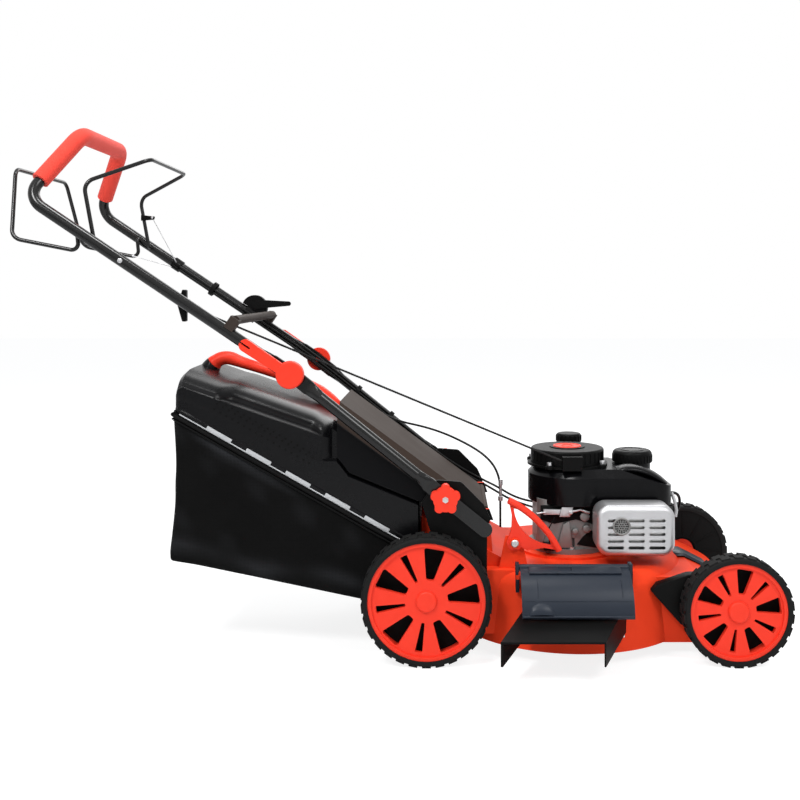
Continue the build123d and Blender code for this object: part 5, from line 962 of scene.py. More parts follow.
@dataclass(frozen=True)
class Studio:
    """Camera, lamps and floor. Places are in metres."""

    eye: Point = (-0.293, -2.410, 0.806)
    lens: float = 45.2
    shift: Pair = (-0.05625, -0.13875)
    sight: float = 60.0
    aim: Point = (-0.3, 0.0, 0.4)
    lamps: tuple[tuple[str, Point, float, float], ...] = (
        ("key", (-1.9, -2.6, 3.3), 0.9, 84.0),
        ("fill", (1.2, -2.2, 2.7), 1.2, 46.0),
        ("back", (0.4, 3.2, 3.0), 2.4, 60.0),
        ("top", (-0.5, -0.5, 3.6), 0.8, 50.0))
    sky_colour: Point = (0.93, 0.96, 1.0)
    sky_strength: float = 0.45
    floor_reach: float = 14.0
    floor_grey: float = 0.86
    floor_glow: float = 1.36
    floor_share: float = 0.62

    def build(self) -> None:
        """Sets up the camera, the lamps, the sky and the floor."""
        scene = bpy.context.scene
        data = bpy.data.cameras.new("camera")
        data.lens = self.lens
        data.sensor_width = 36.0
        data.shift_x, data.shift_y = self.shift
        data.clip_end = self.sight
        camera = bpy.data.objects.new("camera", data)
        camera.location = self.eye
        camera.rotation_euler = (math.radians(90), 0, 0)
        scene.collection.objects.link(camera)
        scene.camera = camera
        for lamp in self.lamps:
            self._lamp(*lamp)
        self._sky()
        self._floor()
        scene.view_settings.view_transform = "Standard"

    def _lamp(self, name: str, place: Point, size: float, power: float) -> None:
        """Adds one soft lamp aimed at the engine.

        Args:
            name: lamp name.
            place: where it stands.
            size: width of its square.
            power: its power in watts.
        """
        data = bpy.data.lights.new(name, "AREA")
        data.energy = power
        data.size = size
        lamp = bpy.data.objects.new(name, data)
        lamp.location = place
        aim = Vector(self.aim) - Vector(place)
        lamp.rotation_euler = aim.to_track_quat("-Z", "Y").to_euler()
        bpy.context.scene.collection.objects.link(lamp)

    @staticmethod
    def _mix(tree: NodeTree, share: NodeSocket, first: Node,
             second: Node, result: Node) -> None:
        """Mixes two shaders into a surface.

        Args:
            tree: tree to add to.
            share: share of the second shader.
            first: the first shader.
            second: the second shader.
            result: the tree's output node.
        """
        mix = Nodes.add(tree, "ShaderNodeMixShader")
        Nodes.wire(tree, (share, mix.inputs[0]), (first.outputs[0], mix.inputs[1]),
                   (second.outputs[0], mix.inputs[2]), (mix.outputs[0], result.inputs["Surface"]))

    def _sky(self) -> None:
        """White behind the object, a plain level on it."""
        world = bpy.data.worlds.new("studio")
        bpy.context.scene.world = world
        world.use_nodes = True
        tree = world.node_tree
        ground = next(n for n in tree.nodes if n.type == "BACKGROUND")
        Nodes.fill(ground, {"Color": (*self.sky_colour, 1.0), "Strength": self.sky_strength})
        white = Nodes.add(tree, "ShaderNodeBackground")
        Nodes.fill(white, {"Color": (1.0, 1.0, 1.0, 1.0)})
        path = Nodes.add(tree, "ShaderNodeLightPath")
        seen = path.outputs["Is Camera Ray"]
        for ray in ("Is Transmission Ray", "Is Glossy Ray"):
            seen = Nodes.math(tree, "MAXIMUM", seen, path.outputs[ray])
        result = next(n for n in tree.nodes if n.type == "OUTPUT_WORLD")
        self._mix(tree, seen, ground, white, result)

    def _floor(self) -> None:
        """Pale floor that keeps the object's shadow."""
        data = bpy.data.meshes.new("floor")
        corners = ((-1, -1), (1, -1), (1, 1), (-1, 1))
        reach = self.floor_reach
        data.from_pydata([(reach * x, reach * y, 0) for x, y in corners], [], [(0, 1, 2, 3)])
        floor = bpy.data.objects.new("floor", data)
        bpy.context.scene.collection.objects.link(floor)
        material = bpy.data.materials.new("pale_floor")
        material.use_nodes = True
        tree = material.node_tree
        tree.nodes.clear()
        result = Nodes.add(tree, "ShaderNodeOutputMaterial")
        cloth = Nodes.add(tree, "ShaderNodeBsdfDiffuse")
        Nodes.fill(cloth, {"Color": (*(self.floor_grey,) * 3, 1.0)})
        glow = Nodes.add(tree, "ShaderNodeEmission")
        Nodes.fill(glow, {"Strength": self.floor_glow})
        path = Nodes.add(tree, "ShaderNodeLightPath")
        share = Nodes.math(tree, "MULTIPLY", path.outputs["Is Camera Ray"], self.floor_share)
        self._mix(tree, share, cloth, glow, result)
        data.materials.append(material)


class Paintwork:
    """Gives every carried-over CAD node its finish."""

    TABLE: dict[Tone, list[str]] = {
        Tone.RED_PAINT: ["deck", "height_bracket"],
        Tone.RED_PLASTIC: [f"{w}_rim" for w in WHEELS]
        + ["cam_lever_right", "cam_lever_left", "star_knob_right", "star_knob_left",
           "height_lever", "bag_handle"],
        Tone.TYRE: [f"{w}_tyre" for w in WHEELS],
        Tone.DARK: [f"{w}_wheel_cover" for w in WHEELS] + ["drive_belt", "fuel_tank"],
        Tone.BLACK_PLASTIC: ["side_chute", "handle_brackets", "recoil_housing", "fuel_cap",
                             "oil_cap", "air_filter", "throttle_housing", "throttle_lever",
                             "starter_handle", "spark_plug"],
        Tone.COWL: ["engine_cowl"],
        Tone.FLAP: ["side_flap"],
        Tone.BROWN_GLOSS: ["handle_brace"],
        Tone.LID: ["rear_flap"],
        Tone.BLACK_GLOSS: ["bag_cover"],
        Tone.TUBE: ["upper_handle", "lower_handle", "stop_bail", "drive_bail", "bag_frame"],
        Tone.RED_FOAM: ["grip"],
        Tone.STEEL: ["front_axle", "rear_axle", "drive_shaft", "crankshaft", "blade",
                     "blade_mount", "muffler"],
        Tone.ZINC: ["fasteners", "muffler_guard", "rope_guide"],
        Tone.ALLOY: ["engine_block", "gearbox", "flywheel", "carburettor"],
        Tone.SHEATH: ["control_cables"],
        Tone.ROPE: ["starter_rope"],
        Tone.FABRIC: ["bag_fabric"],
    }

    def __init__(self, book: FinishBook) -> None:
        """Keeps the book of finishes."""
        self.book = book

    def build(self) -> None:
        """Assigns each node's material slots."""
        for tone, names in self.TABLE.items():
            for name in names:
                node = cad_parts[name]
                material = self.book.get(tone)
                if not node.material_slots:
                    node.data.materials.append(material)
                for slot in node.material_slots:
                    slot.material = material


@dataclass(frozen=True)
class Bench:
    """What every sub-assembly uses to make, finish and fit its pieces."""

    book: FinishBook
    repeats: Repeats

    def fit(self, shape: Shape, name: str, tone: Tone, body: str, *, slot: str = "",
            replaces: Iterable[str] = (), bevel: float = 0.0, wall: float = 0.0,
            smooth: float = CREASE, levels: int = 0) -> None:
        """Finishes a shape and rides it on a body.

        Args:
            shape: the mesh in the making.
            name: piece name.
            tone: its finish.
            body: CAD body that carries it.
            slot: material slot, where it isn't the finish's own.
            replaces: CAD nodes that the piece stands for.
            bevel: width of the broken edges.
            wall: thickness that an open shell gets, inward.
            smooth: edges sharper than this angle stay sharp.
            levels: subdivision levels.
        """
        piece = shape.done(name, self.book.get(tone), bevel, wall, smooth, levels)
        settle(piece, body, slot or SLOTS.get(tone, PLAIN_SLOT), replaces)

    def fit_many(self, tree: NodeTree, name: str, tone: Tone, body: str,
                 places: Sequence[Placing], sizes: dict[str, Size], bevel: float = 0.0) -> None:
        """Makes a piece of many small shapes and rides it on a body.

        Args:
            tree: tree that sets the shapes.
            name: piece name.
            tone: its finish.
            body: CAD body that carries it.
            places: centre in millimetres and turn in radians of each shape.
            sizes: the tree's sizes by input name, in metres.
            bevel: width of the broken edges.
        """
        piece = self.repeats.make(name, tree, places, self.book.get(tone), sizes, bevel)
        settle(piece, body, SLOTS.get(tone, PLAIN_SLOT))

    def bend(self, shape: Shape, name: str, tone: Tone, bodies: tuple[str, str], start: Point,
             end: Point, replaces: Iterable[str] = (), smooth: float = 60.0) -> None:
        """Finishes a shape and places it between two bodies.

        Args:
            shape: the mesh in the making.
            name: piece name.
            tone: its finish.
            bodies: the two CAD bodies.
            start: where the span starts; passed on, not used.
            end: where the span ends; passed on, not used.
            replaces: CAD nodes that the piece stands for.
            smooth: edges sharper than this angle stay sharp.
        """
        piece = shape.done(name, self.book.get(tone), smooth=smooth)
        stretch(piece, *bodies, start, end, SLOTS.get(tone, PLAIN_SLOT), replaces)


@dataclass(frozen=True)
class GrassBag(Bench):
    """Sewn mesh bag under its moulded cover. X runs along the mower, from the rear forward."""

    body: str = "bag_body"
    rear: float = -892.0
    mouth: float = -352.0
    neck: float = -544.0
    neck_run: float = 20.0
    half: float = 205.0
    neck_half: float = 187.0
    seam_rear: float = 536.0
    seam_front: float = 230.0
    floor_rear: float = 206.0
    floor_front: float = 108.0
    foot: float = -416.0
    lip: float = 200.0
    lean: float = 10.0
    crown_rear: float = 622.0
    crown_start: float = 29.0
    crown_slope: float = 0.35
    mouth_top: float = 402.0
    ledge_rear: Pair = (-531.0, 429.0)
    ledge_front: Pair = (-505.0, 395.0)
    ledge_slope: float = -0.409
    lid_place: Pair = (-231.0, 289.0)
    lid_slope: float = 0.7346
    lid_drop: float = 20.0
    lid_room: float = 22.0
    dome_span: Pair = (-800.0, -560.0)
    dome_ramps: Pair = (36.0, 30.0)
    dome_height: float = 4.0
    shoulder: float = 34.0
    crest: float = 104.0
    neck_crest: float = 128.0
    hem: Pair = (13.0, 16.0)
    hem_step: float = 3.0
    tail: tuple[Point, ...] = ((-888.0, 12.0, 0.72), (-882.0, 5.0, 0.9))
    stations: tuple[float, ...] = (
        -872.0, -840.0, -804.0, -796.0, -788.0, -780.0, -772.0, -764.0, -740.0, -680.0, -620.0,
        -592.0, -584.0, -576.0, -566.0, -562.0, -546.0, -543.0, -532.0, -518.0, -505.0, -470.0,
        -420.0, -380.0, -352.0)
    handle_line: tuple[tuple[float, float, float, float], ...] = (
        (-866, 592, 30, 26), (-858, 612, 27, 22), (-846, 630, 22, 17), (-828, 641, 19, 16),
        (-808, 641, 17, 16), (-788, 633, 17, 14), (-764, 625, 17, 13), (-730, 615, 17, 13),
        (-690, 602, 17, 13), (-650, 588, 17, 13), (-615, 571, 18, 15), (-585, 551, 19, 18),
        (-560, 530, 20, 18), (-548, 512, 21, 18))
    handle_foot: float = 626.0
    down: int = 22
    across: int = 24
    along: int = 40
    cloth_lap: float = 3.0
    puff: float = 5.0
    tuck: float = 7.0
    crease: float = 4.0
    sag: float = 7.0
    ripple: float = 1.5
    pinch: float = 15.0
    pull: float = 11.0
    binding: tuple[Point, ...] = ((5.0, 4.5, 0.5), (15.0, 2.2, 0.2))
    binding_ends: tuple[float, ...] = (-368.0, -372.0)
    clip_span: Pair = (-789.0, -372.0)
    clip_pitch: float = 99.5
    clip_size: Point = (0.062, 0.003, 0.009)
    vent_span: Pair = (-800.0, -590.0)
    vent_pitch: float = 15.0
    vent_rises: Point = (58.0, 70.0, 82.0)

    def seam(self, x: float) -> float:
        """Height of the seam between cover and cloth."""
        share = (x - self.rear) / (self.mouth - self.rear)
        return self.seam_rear + share * (self.seam_front - self.seam_rear)

    def crown(self, x: float) -> float:
        """Height of the cover's crown.

        Args:
            x: place along the mower.

        Returns:
            The height.
        """
        start = min(x, self.neck)
        line = self.crown_rear - self.crown_slope * (start - self.rear - self.crown_start)
        if x <= self.neck:
            return line
        return line + (x - self.neck) / (self.mouth - self.neck) * (self.mouth_top - line)

    def ledge(self, x: float) -> float:
        """Height under the lid's skirt, where the cover steps in.

        Args:
            x: place along the mower.

        Returns:
            The height.
        """
        (rear, high), (front, low) = self.ledge_rear, self.ledge_front
        if x < rear:
            return high
        if x < front:
            return high + (x - rear) / (front - rear) * (low - high)
        return low + (x - front) * self.ledge_slope

    def cover_section(self, x: float, inset: float = 0.0) -> list[Point]:
        """Half section of the cover from its lower edge to the crown, on the right side.

        Args:
            x: place along the mower.
            inset: how far the section is drawn in.

        Returns:
            The section's points.
        """
        low = self.seam(x)
        top = self.crown(x) - inset
        wide = self.half - inset
        in_neck = limited((x - self.neck + self.neck_run) / self.neck_run)
        narrow = wide + (self.neck_half - self.half) * in_neck
        dome = 0.0
        if x > self.neck:
            lid = self.lid_place[1] + (self.lid_place[0] - x) * self.lid_slope
            side = lid - self.lid_drop
            crest = self.neck_crest
            top = min(top, lid + self.lid_room)
        else:
            side = top - self.shoulder
            share = limited((x - self.dome_span[0]) / self.dome_ramps[0])
            share *= limited((self.dome_span[1] - x) / self.dome_ramps[1])
            dome = share * share * (3 - 2 * share)
            crest = self.crest
            top += self.dome_height * dome
        ledge = min(self.ledge(x), side - 4.0) if in_neck > 0 else low + 0.55 * (side - low)
        wall = wide - self.hem_step
        edge, rise = self.hem
        points = [(wide, low), (wide, low + edge), (wall, low + rise)]
        points += [(wall, low + rise + (ledge - low - rise) * k / 3) for k in (1, 2)]
        points.append((wall, ledge - 2.0))
        points.append((min(narrow, wall), ledge + (1.0 if in_neck else 0.5)))
        points += [(narrow - 3.5, ledge + 3.0 + (side - ledge - 3.0) * k / 2) for k in (0, 1)]
        points += [(narrow - 3.6, side - 1.5), (narrow - 5.5, side + 0.5)]
        root = narrow - 6.5 - 20.0 * dome
        foot = side + 1.5 + 3.0 * dome
        points.append((root, foot))
        for k in range(1, 7):
            turn = math.radians(15 * k)
            y = crest + (root - crest) * math.cos(turn)
            points.append((y, foot + (top - foot) * math.sin(turn)))
        points += [(crest * 0.6, top + 1.0), (0.0, top + 2.0)]
        return [(x, -y, z) for y, z in points]

    def cover(self) -> None:
        """Moulded cover: crowned shell with a stepped side and a rounded tail."""
        start = self.stations[0]
        rows = []
        for x, inset, squat in self.tail:
            row = self.cover_section(start, inset)
            seam, base = self.seam(x), self.seam(start)
            rows.append([(x, y, seam + (z - base) * squat) for _, y, z in row])
        rows += [self.cover_section(x) for x in self.stations]
        shape = Shape()
        verts = shape.grid([row + [(x, -y, z) for x, y, z in row[-2::-1]] for row in rows])
        edge = verts[0]
        for i in range(len(edge) // 2):
            j = len(edge) - 1 - i
            if i + 1 < j - 1:
                shape.mesh.faces.new((edge[i], edge[i + 1], edge[j - 1], edge[j]))
            elif i + 1 == j - 1:
                shape.mesh.faces.new((edge[i], edge[i + 1], edge[j]))
        self.fit(shape, "bag_cover_shell", Tone.BLACK_GLOSS, self.body, replaces=["bag_cover"],
                 wall=2.5, smooth=28.0)

    def handle(self) -> None:
        """Rounded carrying handle on a dark foot, over the cover's crown."""
        line = self.handle_line
        points = smooth_route([(x, 0.0, z) for x, z, _, _ in line], 6)
        sections = []
        for k in range(len(points)):
            place = k / (len(points) - 1) * (len(line) - 1)
            index = min(int(place), len(line) - 2)
            ends = zip(line[index][2:], line[index + 1][2:])
            sections.append(tuple(a + (b - a) * (place - index) for a, b in ends))
        cut = next(k for k, point in enumerate(points) if point.z > self.handle_foot)
        foot = Shape()
        foot.tube(points[:cut + 1], sections[:cut + 1], sides=24)
        self.fit(foot, "bag_handle_foot", Tone.BLACK_GLOSS, self.body, bevel=1.0, smooth=50.0)
        bar = Shape()
        bar.tube(points[cut:], sections[cut:], sides=24)
        self.fit(bar, "bag_handle_bar", Tone.RED_PLASTIC, self.body, replaces=["bag_handle"],
                 bevel=1.0, smooth=50.0)

    def floor(self, x: float) -> float:
        """Height of the cloth's floor.

        Args:
            x: place along the mower.

        Returns:
            The height.
        """
        if x <= self.foot:
            share = (x - self.rear) / (self.foot - self.rear)
            return self.floor_rear + share * (self.floor_front - self.floor_rear)
        share = (x - self.foot) / (self.mouth - self.foot)
        return self.floor_front + share * (self.lip - self.floor_front)

    def slack(self, x: float, y: float, z: float) -> float:
        """Depth of the cloth's creases at a place.

        Args:
            x: place along the mower.
            y: place across it.
            z: height.

        Returns:
            The depth, from about -2 to 2.
        """
        wave = math.sin(x * 0.021 + z * 0.034 + y * 0.013)
        wave += 0.6 * math.sin(x * 0.047 - z * 0.029 + y * 0.031 + 1.3)
        return wave + 0.35 * math.sin(x * 0.09 + z * 0.07 + y * 0.05)

    def painted_fold_highlight(self, x: float, z: float) -> float:
        """How strongly a highlight is painted on the cloth: on its upper crease, its lower bend and
        its ridges.

        Args:
            x: place along the mower.
            z: height.

        Returns:
            The share, from 0 to 1.
        """
        below = self.seam(x) - z
        along = limited((x - self.rear - 30.0) / 60.0) * limited((-600.0 - x) / 120.0)
        crease = 0.8 * along * math.exp(-((below - 26.0) / 9.0) ** 2)
        above = z - self.floor(x)
        bend = 0.55 * math.exp(-((above - 34.0 - 8.0 * math.sin(x * 0.02)) / 16.0) ** 2)
        ridge = 0.16 * max(self.slack(x, -self.half, z) - 0.7, 0.0)
        return min(crease + bend * (0.6 + 0.4 * math.sin(x * 0.035 + 1.0)) + ridge, 1.0)

    def cloth_ring(self, station: int) -> list[Point]:
        """The cloth's section: down the right side, over the floor and up the left side.

        Args:
            station: number of the section, from the rear.

        Returns:
            The section's points.
        """
        x = self.rear + (self.mouth - self.rear) * station / self.along
        top = self.seam(x) + self.cloth_lap
        low = self.floor(x)
        edge = min(station / 3, (self.along - station) / 3, 1.0)
        side = []
        for j in range(self.down + 1):
            t = j / self.down
            z = top + (low - top) * t
            puff = (self.puff * math.sin(math.pi * t) ** 2 - self.tuck * t ** 8) * edge
            crease = self.crease * math.sin(math.pi * t) * edge * self.slack(x, -self.half, z)
            lean = self.lean * t * t * max(0.0, 1.0 - station / 4)
            side.append((x - lean, -(self.half - self.cloth_lap + puff + crease * 0.6), z))
        bottom = []
        for k in range(1, self.across):
            u = k / self.across
            y = side[-1][1] * (1 - 2 * u)
            sag = self.sag * math.sin(math.pi * u) * edge
            ripple = self.ripple * edge * self.slack(x, y, low) * math.sin(math.pi * u)
            bottom.append((x, y, low - sag + ripple))
        return side + bottom + [(px, -py, pz) for px, py, pz in side[::-1]]

    def back_panel(self, shape: Shape, edge: list[BMVert]) -> None:
        """Closes the cloth's rear with a panel that is pulled in.

        Args:
            shape: mesh to add to.
            edge: the rear section's vertices.
        """
        left = edge[:self.down + 1]
        right = edge[::-1][:self.down + 1]
        rows = []
        for j in range(self.down + 1):
            t = j / self.down
            row = [left[j]]
            for k in range(1, self.across):
                if j == self.down:
                    row.append(edge[self.down + k])
                    continue
                u = k / self.across
                pinch = self.pinch * math.sin(math.pi * t) ** 1.5 * math.sin(math.pi * u) ** 0.6
                place = left[j].co.lerp(right[j].co, u)
                ripple = self.ripple * math.sin(math.pi * t)
                place.x += pinch + ripple * self.slack(0.0, place.y, place.z)
                row.append(shape.vert(place))
            rows.append(row + [right[j]])
        for a, b in zip(rows, rows[1:]):
            for k in range(self.across):
                shape.mesh.faces.new((a[k], a[k + 1], b[k + 1], b[k]))
        for vert in edge[1:self.down] + edge[::-1][1:self.down]:
            t = limited((self.seam_rear - vert.co.z) / (self.seam_rear - self.floor_rear))
            vert.co.x += self.pull * math.sin(math.pi * t) ** 1.5

    def weave_map(self, shape: Shape) -> None:
        """Lays the weave's map on each panel and marks the painted highlights on the folds.

        Args:
            shape: the cloth's mesh.
        """
        fold_highlight = shape.mesh.verts.layers.float.new("fold")
        for vert in shape.mesh.verts:
            vert[fold_highlight] = self.painted_fold_highlight(vert.co.x, vert.co.z)
        layer = shape.mesh.loops.layers.uv.new("weave")
        shape.mesh.normal_update()
        for face in shape.mesh.faces:
            facing = face.normal
            for loop in face.loops:
                place = loop.vert.co * MM
                if abs(facing.y) > 0.7:
                    loop[layer].uv = (place.x, place.z)
                elif abs(facing.x) > 0.7:
                    loop[layer].uv = (place.y, place.z)
                else:
                    loop[layer].uv = (place.x, place.y)

    def cloth(self) -> None:
        """Sewn cloth body that hangs from the cover."""
        shape = Shape()
        verts = shape.grid([self.cloth_ring(station) for station in range(self.along + 1)])
        self.back_panel(shape, verts[0])
        self.weave_map(shape)
        self.fit(shape, "bag_cloth", Tone.FABRIC, self.body, replaces=["bag_fabric"], wall=1.6,
                 smooth=60.0, levels=1)

    def seam_points(self, span: Pair, pitch: float, drop: float, out: float) -> list[Placing]:
        """Places along both sides of the seam.

        Args:
            span: first and last place along the mower.
            pitch: distance between places, along the seam.
            drop: height over the seam.
            out: distance from the bag's side.

        Returns:
            The places with their turns.
        """
        slope = math.atan2(self.seam_rear - self.seam_front, self.mouth - self.rear)
        count = int((span[1] - span[0]) / (pitch * math.cos(slope)))
        places = []
        for side in (-1, 1):
            for k in range(count + 1):
                x = span[0] + k * pitch * math.cos(slope)
                centre = (x, side * (self.half + out), self.seam(x) + drop)
                places.append((centre, (0.0, slope, 0.0)))
        return places

    def rail(self) -> None:
        """Binding under the seam, grey rail on it and the clips that close it."""
        shape = Shape()
        for side in (-1, 1):
            for (drop, radius, out), end in zip(self.binding, self.binding_ends):
                y = side * (self.half + out)
                path = [Vector((x, y, self.seam(x) - drop)) for x in (-889.0, -700.0, -520.0, end)]
                shape.tube(path, radius, sides=8)
        for drop, radius, _ in self.binding:
            z = self.seam_rear - drop
            path = [Vector((self.rear + 1.0, y, z)) for y in (-self.half, -70.0, 70.0, self.half)]
            shape.tube(path, radius, sides=8)
        self.fit(shape, "bag_binding", Tone.BLACK_PLASTIC, self.body)
        shape = Shape()
        for side in (-1, 1):
            y = side * (self.half + 0.6)
            path = [Vector((x, y, self.seam(x) + 4.0)) for x in (-876.0, -620.0, -372.0)]
            shape.tube(path, 1.5, sides=6)
        self.fit(shape, "bag_rail", Tone.CLIP, self.body)
        places = self.seam_points(self.clip_span, self.clip_pitch, 9.0, 0.8)
        self.fit_many(self.repeats.blocks, "bag_clips", Tone.CLIP, self.body, places,
                      {"Size": Vector(self.clip_size)}, bevel=0.8)

    def vents(self) -> None:
        """Rows of small vents in the cover's sides, as dark discs of painted shade in place of
        holes.
        """
        places = []
        for row, rise in enumerate(self.vent_rises):
            for (x, y, z), _ in self.seam_points(self.vent_span, self.vent_pitch, rise, -2.6):
                places.append(((x + 6.0 * (row % 2), y, z), FACING_SIDE))
        self.fit_many(self.repeats.studs, "bag_vents", Tone.DARK, self.body, places,
                      {"Radius": 0.0026, "Height": 0.0012, "Sides": 8})

    def build(self) -> None:
        """Makes every piece of the bag."""
        self.cover()
        self.handle()
        self.cloth()
        self.rail()
        self.vents()


@dataclass(frozen=True)
class Cables(Bench):
    """Control cables along the left tubes, and the starter rope."""

    radius: float = 2.75
    wire: float = 1.1
    turns: Point = (6.0, -20.0, 32.0)
    gap_high: float = 4.8
    gap_low: float = 0.3
    split: float = 300.0
    clamp: float = 440.0
    stop_run: tuple[Point, ...] = (
        (-266, 207, 338), (-205, 208, 306), (-168, 186, 288), (-118, 120, 270), (-70, 92, 262))
    drive_run: tuple[Point, ...] = (
        (-319, 150, 450), (-223, 90, 414), (-177, 55, 382), (-159, 42, 343), (-158, 41, 300),
        (-158, 40, 226))
    throttle_run: tuple[Point, ...] = (
        (-262, 207, 346), (-200, 208, 312), (-160, 190, 296), (-110, 130, 276), (-40, 112, 267),
        (60, 112, 262))
    throttle_exit: float = 196.7
    deck_end: Point = (-150.0, 0.0, 320.0)
    deck_reach: float = 140.0
    fold_reach: float = 60.0
    wire_side: float = 197.85
    stop_hook: Pair = (560.0, 70.0)
    drive_hook: Pair = (545.0, -40.0)
    ties: tuple[tuple[bool, float], ...] = ((True, 330.0), (False, 189.0), (False, 297.0))
    tie_radius: float = 13.4
    tie_half: float = 5.5
    tie_wall: float = 2.0
    rope_radius: float = 2.5
    rope_pitch: float = 16.0
    rope_guide: Point = (253.0, -3.0, -201.4)
    rope_end: Point = (-24.6, -97.0, 410.4)
    rope_share: float = 0.26

    def up(self, distance: float, turn: float) -> Point:
        """A place of a cable along the upper left tube."""
        return HANDLE.beside(True, distance, turn, self.gap_high, self.radius)

    def low(self, distance: float, turn: float) -> Point:
        """A place of a cable along the lower left tube."""
        return HANDLE.beside(False, distance, turn, self.gap_low, self.radius)

    def routes(self) -> dict[str, list[Point]]:
        """Control points of the three cables, from the handle to the machine.

        Returns:
            The points by the cable's name.
        """
        plan = (("stop", (self.clamp, 300, 110), (415, 330, 170, 60), self.stop_run),
                ("drive", (self.clamp, 300, 112), (412, 330, 190), self.drive_run),
                ("throttle", (self.throttle_exit, 108), (415, 330, 150, 60), self.throttle_run))
        routes = {}
        for turn, (name, upper, lower, run) in zip(self.turns, plan):
            routes[name] = [self.up(distance, turn) for distance in upper]
            routes[name] += [self.low(distance, turn) for distance in lower]
            routes[name] += run
        return routes

    def sheaths(self) -> None:
        """Cable sheaths: an upper run over the fold joint and a lower run to the machine."""
        cut = HANDLE.low(self.split)
        below = HANDLE.low(HANDLE.lower_span - self.fold_reach)
        above = HANDLE.high(self.fold_reach)
        end = HANDLE.low(self.deck_reach)
        replaces = ["control_cables"]
        for name, route in self.routes().items():
            points = smooth_route(route)
            away = [(p.x - cut[0]) ** 2 + (p.z - cut[1]) ** 2 for p in points]
            index = away.index(min(away))
            upper = Shape()
            upper.tube(points[:index + 1], self.radius)
            self.bend(upper, f"{name}_cable_upper", Tone.SHEATH,
                      ("lower_handle_body", "upper_handle_body"), (below[0], 0, below[1]),
                      (above[0], 0, above[1]), replaces)
            replaces = []
            lower = Shape()
            lower.tube(points[index:], self.radius)
            self.bend(lower, f"{name}_cable_lower", Tone.SHEATH,
                      ("deck_body", "lower_handle_body"), self.deck_end, (end[0], 0, end[1]))

    def wires(self) -> None:
        """Bare inner wires from the clamp to the two bails."""
        hooks = (("stop", self.stop_hook), ("drive", self.drive_hook))
        for turn, (name, hook) in zip(self.turns, hooks):
            start = self.up(self.clamp, turn)
            x, z = HANDLE.high(*hook)
            end = (x, self.wire_side, z)
            shape = Shape()
            shape.tube([Vector(start).lerp(Vector(end), k / 12) for k in range(13)], self.wire,
                       sides=6)
            shape.lathe([(2.6, -4), (3.4, -3), (3.4, 3), (2.6, 4)], end, LEFT, 12)
            self.bend(shape, f"{name}_wire", Tone.ZINC,
                      ("upper_handle_body", f"{name}_bail_body"), start, end)
        x, z = HANDLE.high(*self.stop_hook)
        lug = Shape()
        lug.plate([(x - 29, z - 8), (x + 4, z - 5), (x + 6, z + 3), (x - 29, z + 7)],
                  self.wire_side - 3.0, self.wire_side + 6.0)
        self.fit(lug, "stop_wire_lug", Tone.BLACK_PLASTIC, "stop_bail_body", bevel=1.2)

    def bracket(self) -> None:
        """Bracket on the left tube that holds the cable ends, with its screw."""
        x, z = HANDLE.high(self.clamp + 6)
        along = HANDLE.rise(True)
        shape = Shape()
        shape.lathe([(13.2, -13), (15.6, -12), (15.6, 12), (13.2, 13)], (x, HANDLE.upper_y, z),
                    along, 24)
        for lift in (-6.0, 2.0):
            px, pz = HANDLE.high(self.clamp + 4, lift)
            shape.lathe([(4.4, -9), (5.2, -8), (5.2, 8), (4.4, 9)],
                        (px, HANDLE.upper_y - 19.5, pz), along, 12)
        self.fit(shape, "cable_bracket", Tone.BLACK_PLASTIC, "upper_handle_body")
        screw = Shape()
        screw.lathe([(4.6, 0), (4.6, 3.4), (2.4, 5)], (x, HANDLE.upper_y - 15.6, z), RIGHT, 6)
        self.fit(screw, "cable_bracket_screw", Tone.ZINC, "upper_handle_body")

    def tie(self, index: int, upper: bool, distance: float) -> None:
        """Makes one tie that holds the cables to a left tube.

        Args:
            index: number of the tie.
            upper: whether it sits on the upper tube.
            distance: place along the tube.
        """
        x, z = HANDLE.high(distance) if upper else HANDLE.low(distance)
        centre = Vector((x, HANDLE.upper_y if upper else HANDLE.lower_y, z))
        along = HANDLE.rise(upper)
        lift = Vector((along.z, 0, -along.x))
        reach = HANDLE.tube + (10.6 if upper else 6.2) - self.tie_radius
        loop = []
        for turn in circle_turns(28):
            away = self.tie_radius + reach * max(0.0, math.cos(turn - 0.1)) ** 0.7
            loop.append(centre + (RIGHT * math.cos(turn) + lift * math.sin(turn)) * away)
        half, wall = self.tie_half, self.tie_wall
        rows = []
        for offset, grow in ((-half, 0.0), (-half, wall), (half, wall), (half, 0.0)):
            step = along * offset
            rows.append([tuple(p + (p - centre).normalized() * grow + step) for p in loop])
        shape = Shape()
        shape.grid(rows + rows[:1], close=True)
        self.fit(shape, f"cable_tie_{index}", Tone.BLACK_PLASTIC,
                 "upper_handle_body" if upper else "lower_handle_body")

    def strands(self, start: Vector, end: Vector) -> Shape:
        """Three laid strands along a line.

        Args:
            start: one end of the line.
            end: its other end.

        Returns:
            The strands' mesh.
        """
        shape = Shape()
        along = (end - start).normalized()
        u = along.cross(UP).normalized()
        v = u.cross(along)
        length = (end - start).length
        steps = max(8, int(length / self.rope_pitch * 7))
        for strand in range(3):
            path = []
            for k in range(steps + 1):
                t = k / steps
                turn = 2 * math.pi * (length * t / self.rope_pitch + strand / 3)
                side = u * math.cos(turn) + v * math.sin(turn)
                path.append(start.lerp(end, t) + side * self.rope_radius * 0.5)
            shape.tube(path, self.rope_radius * 0.54, sides=6)
        return shape

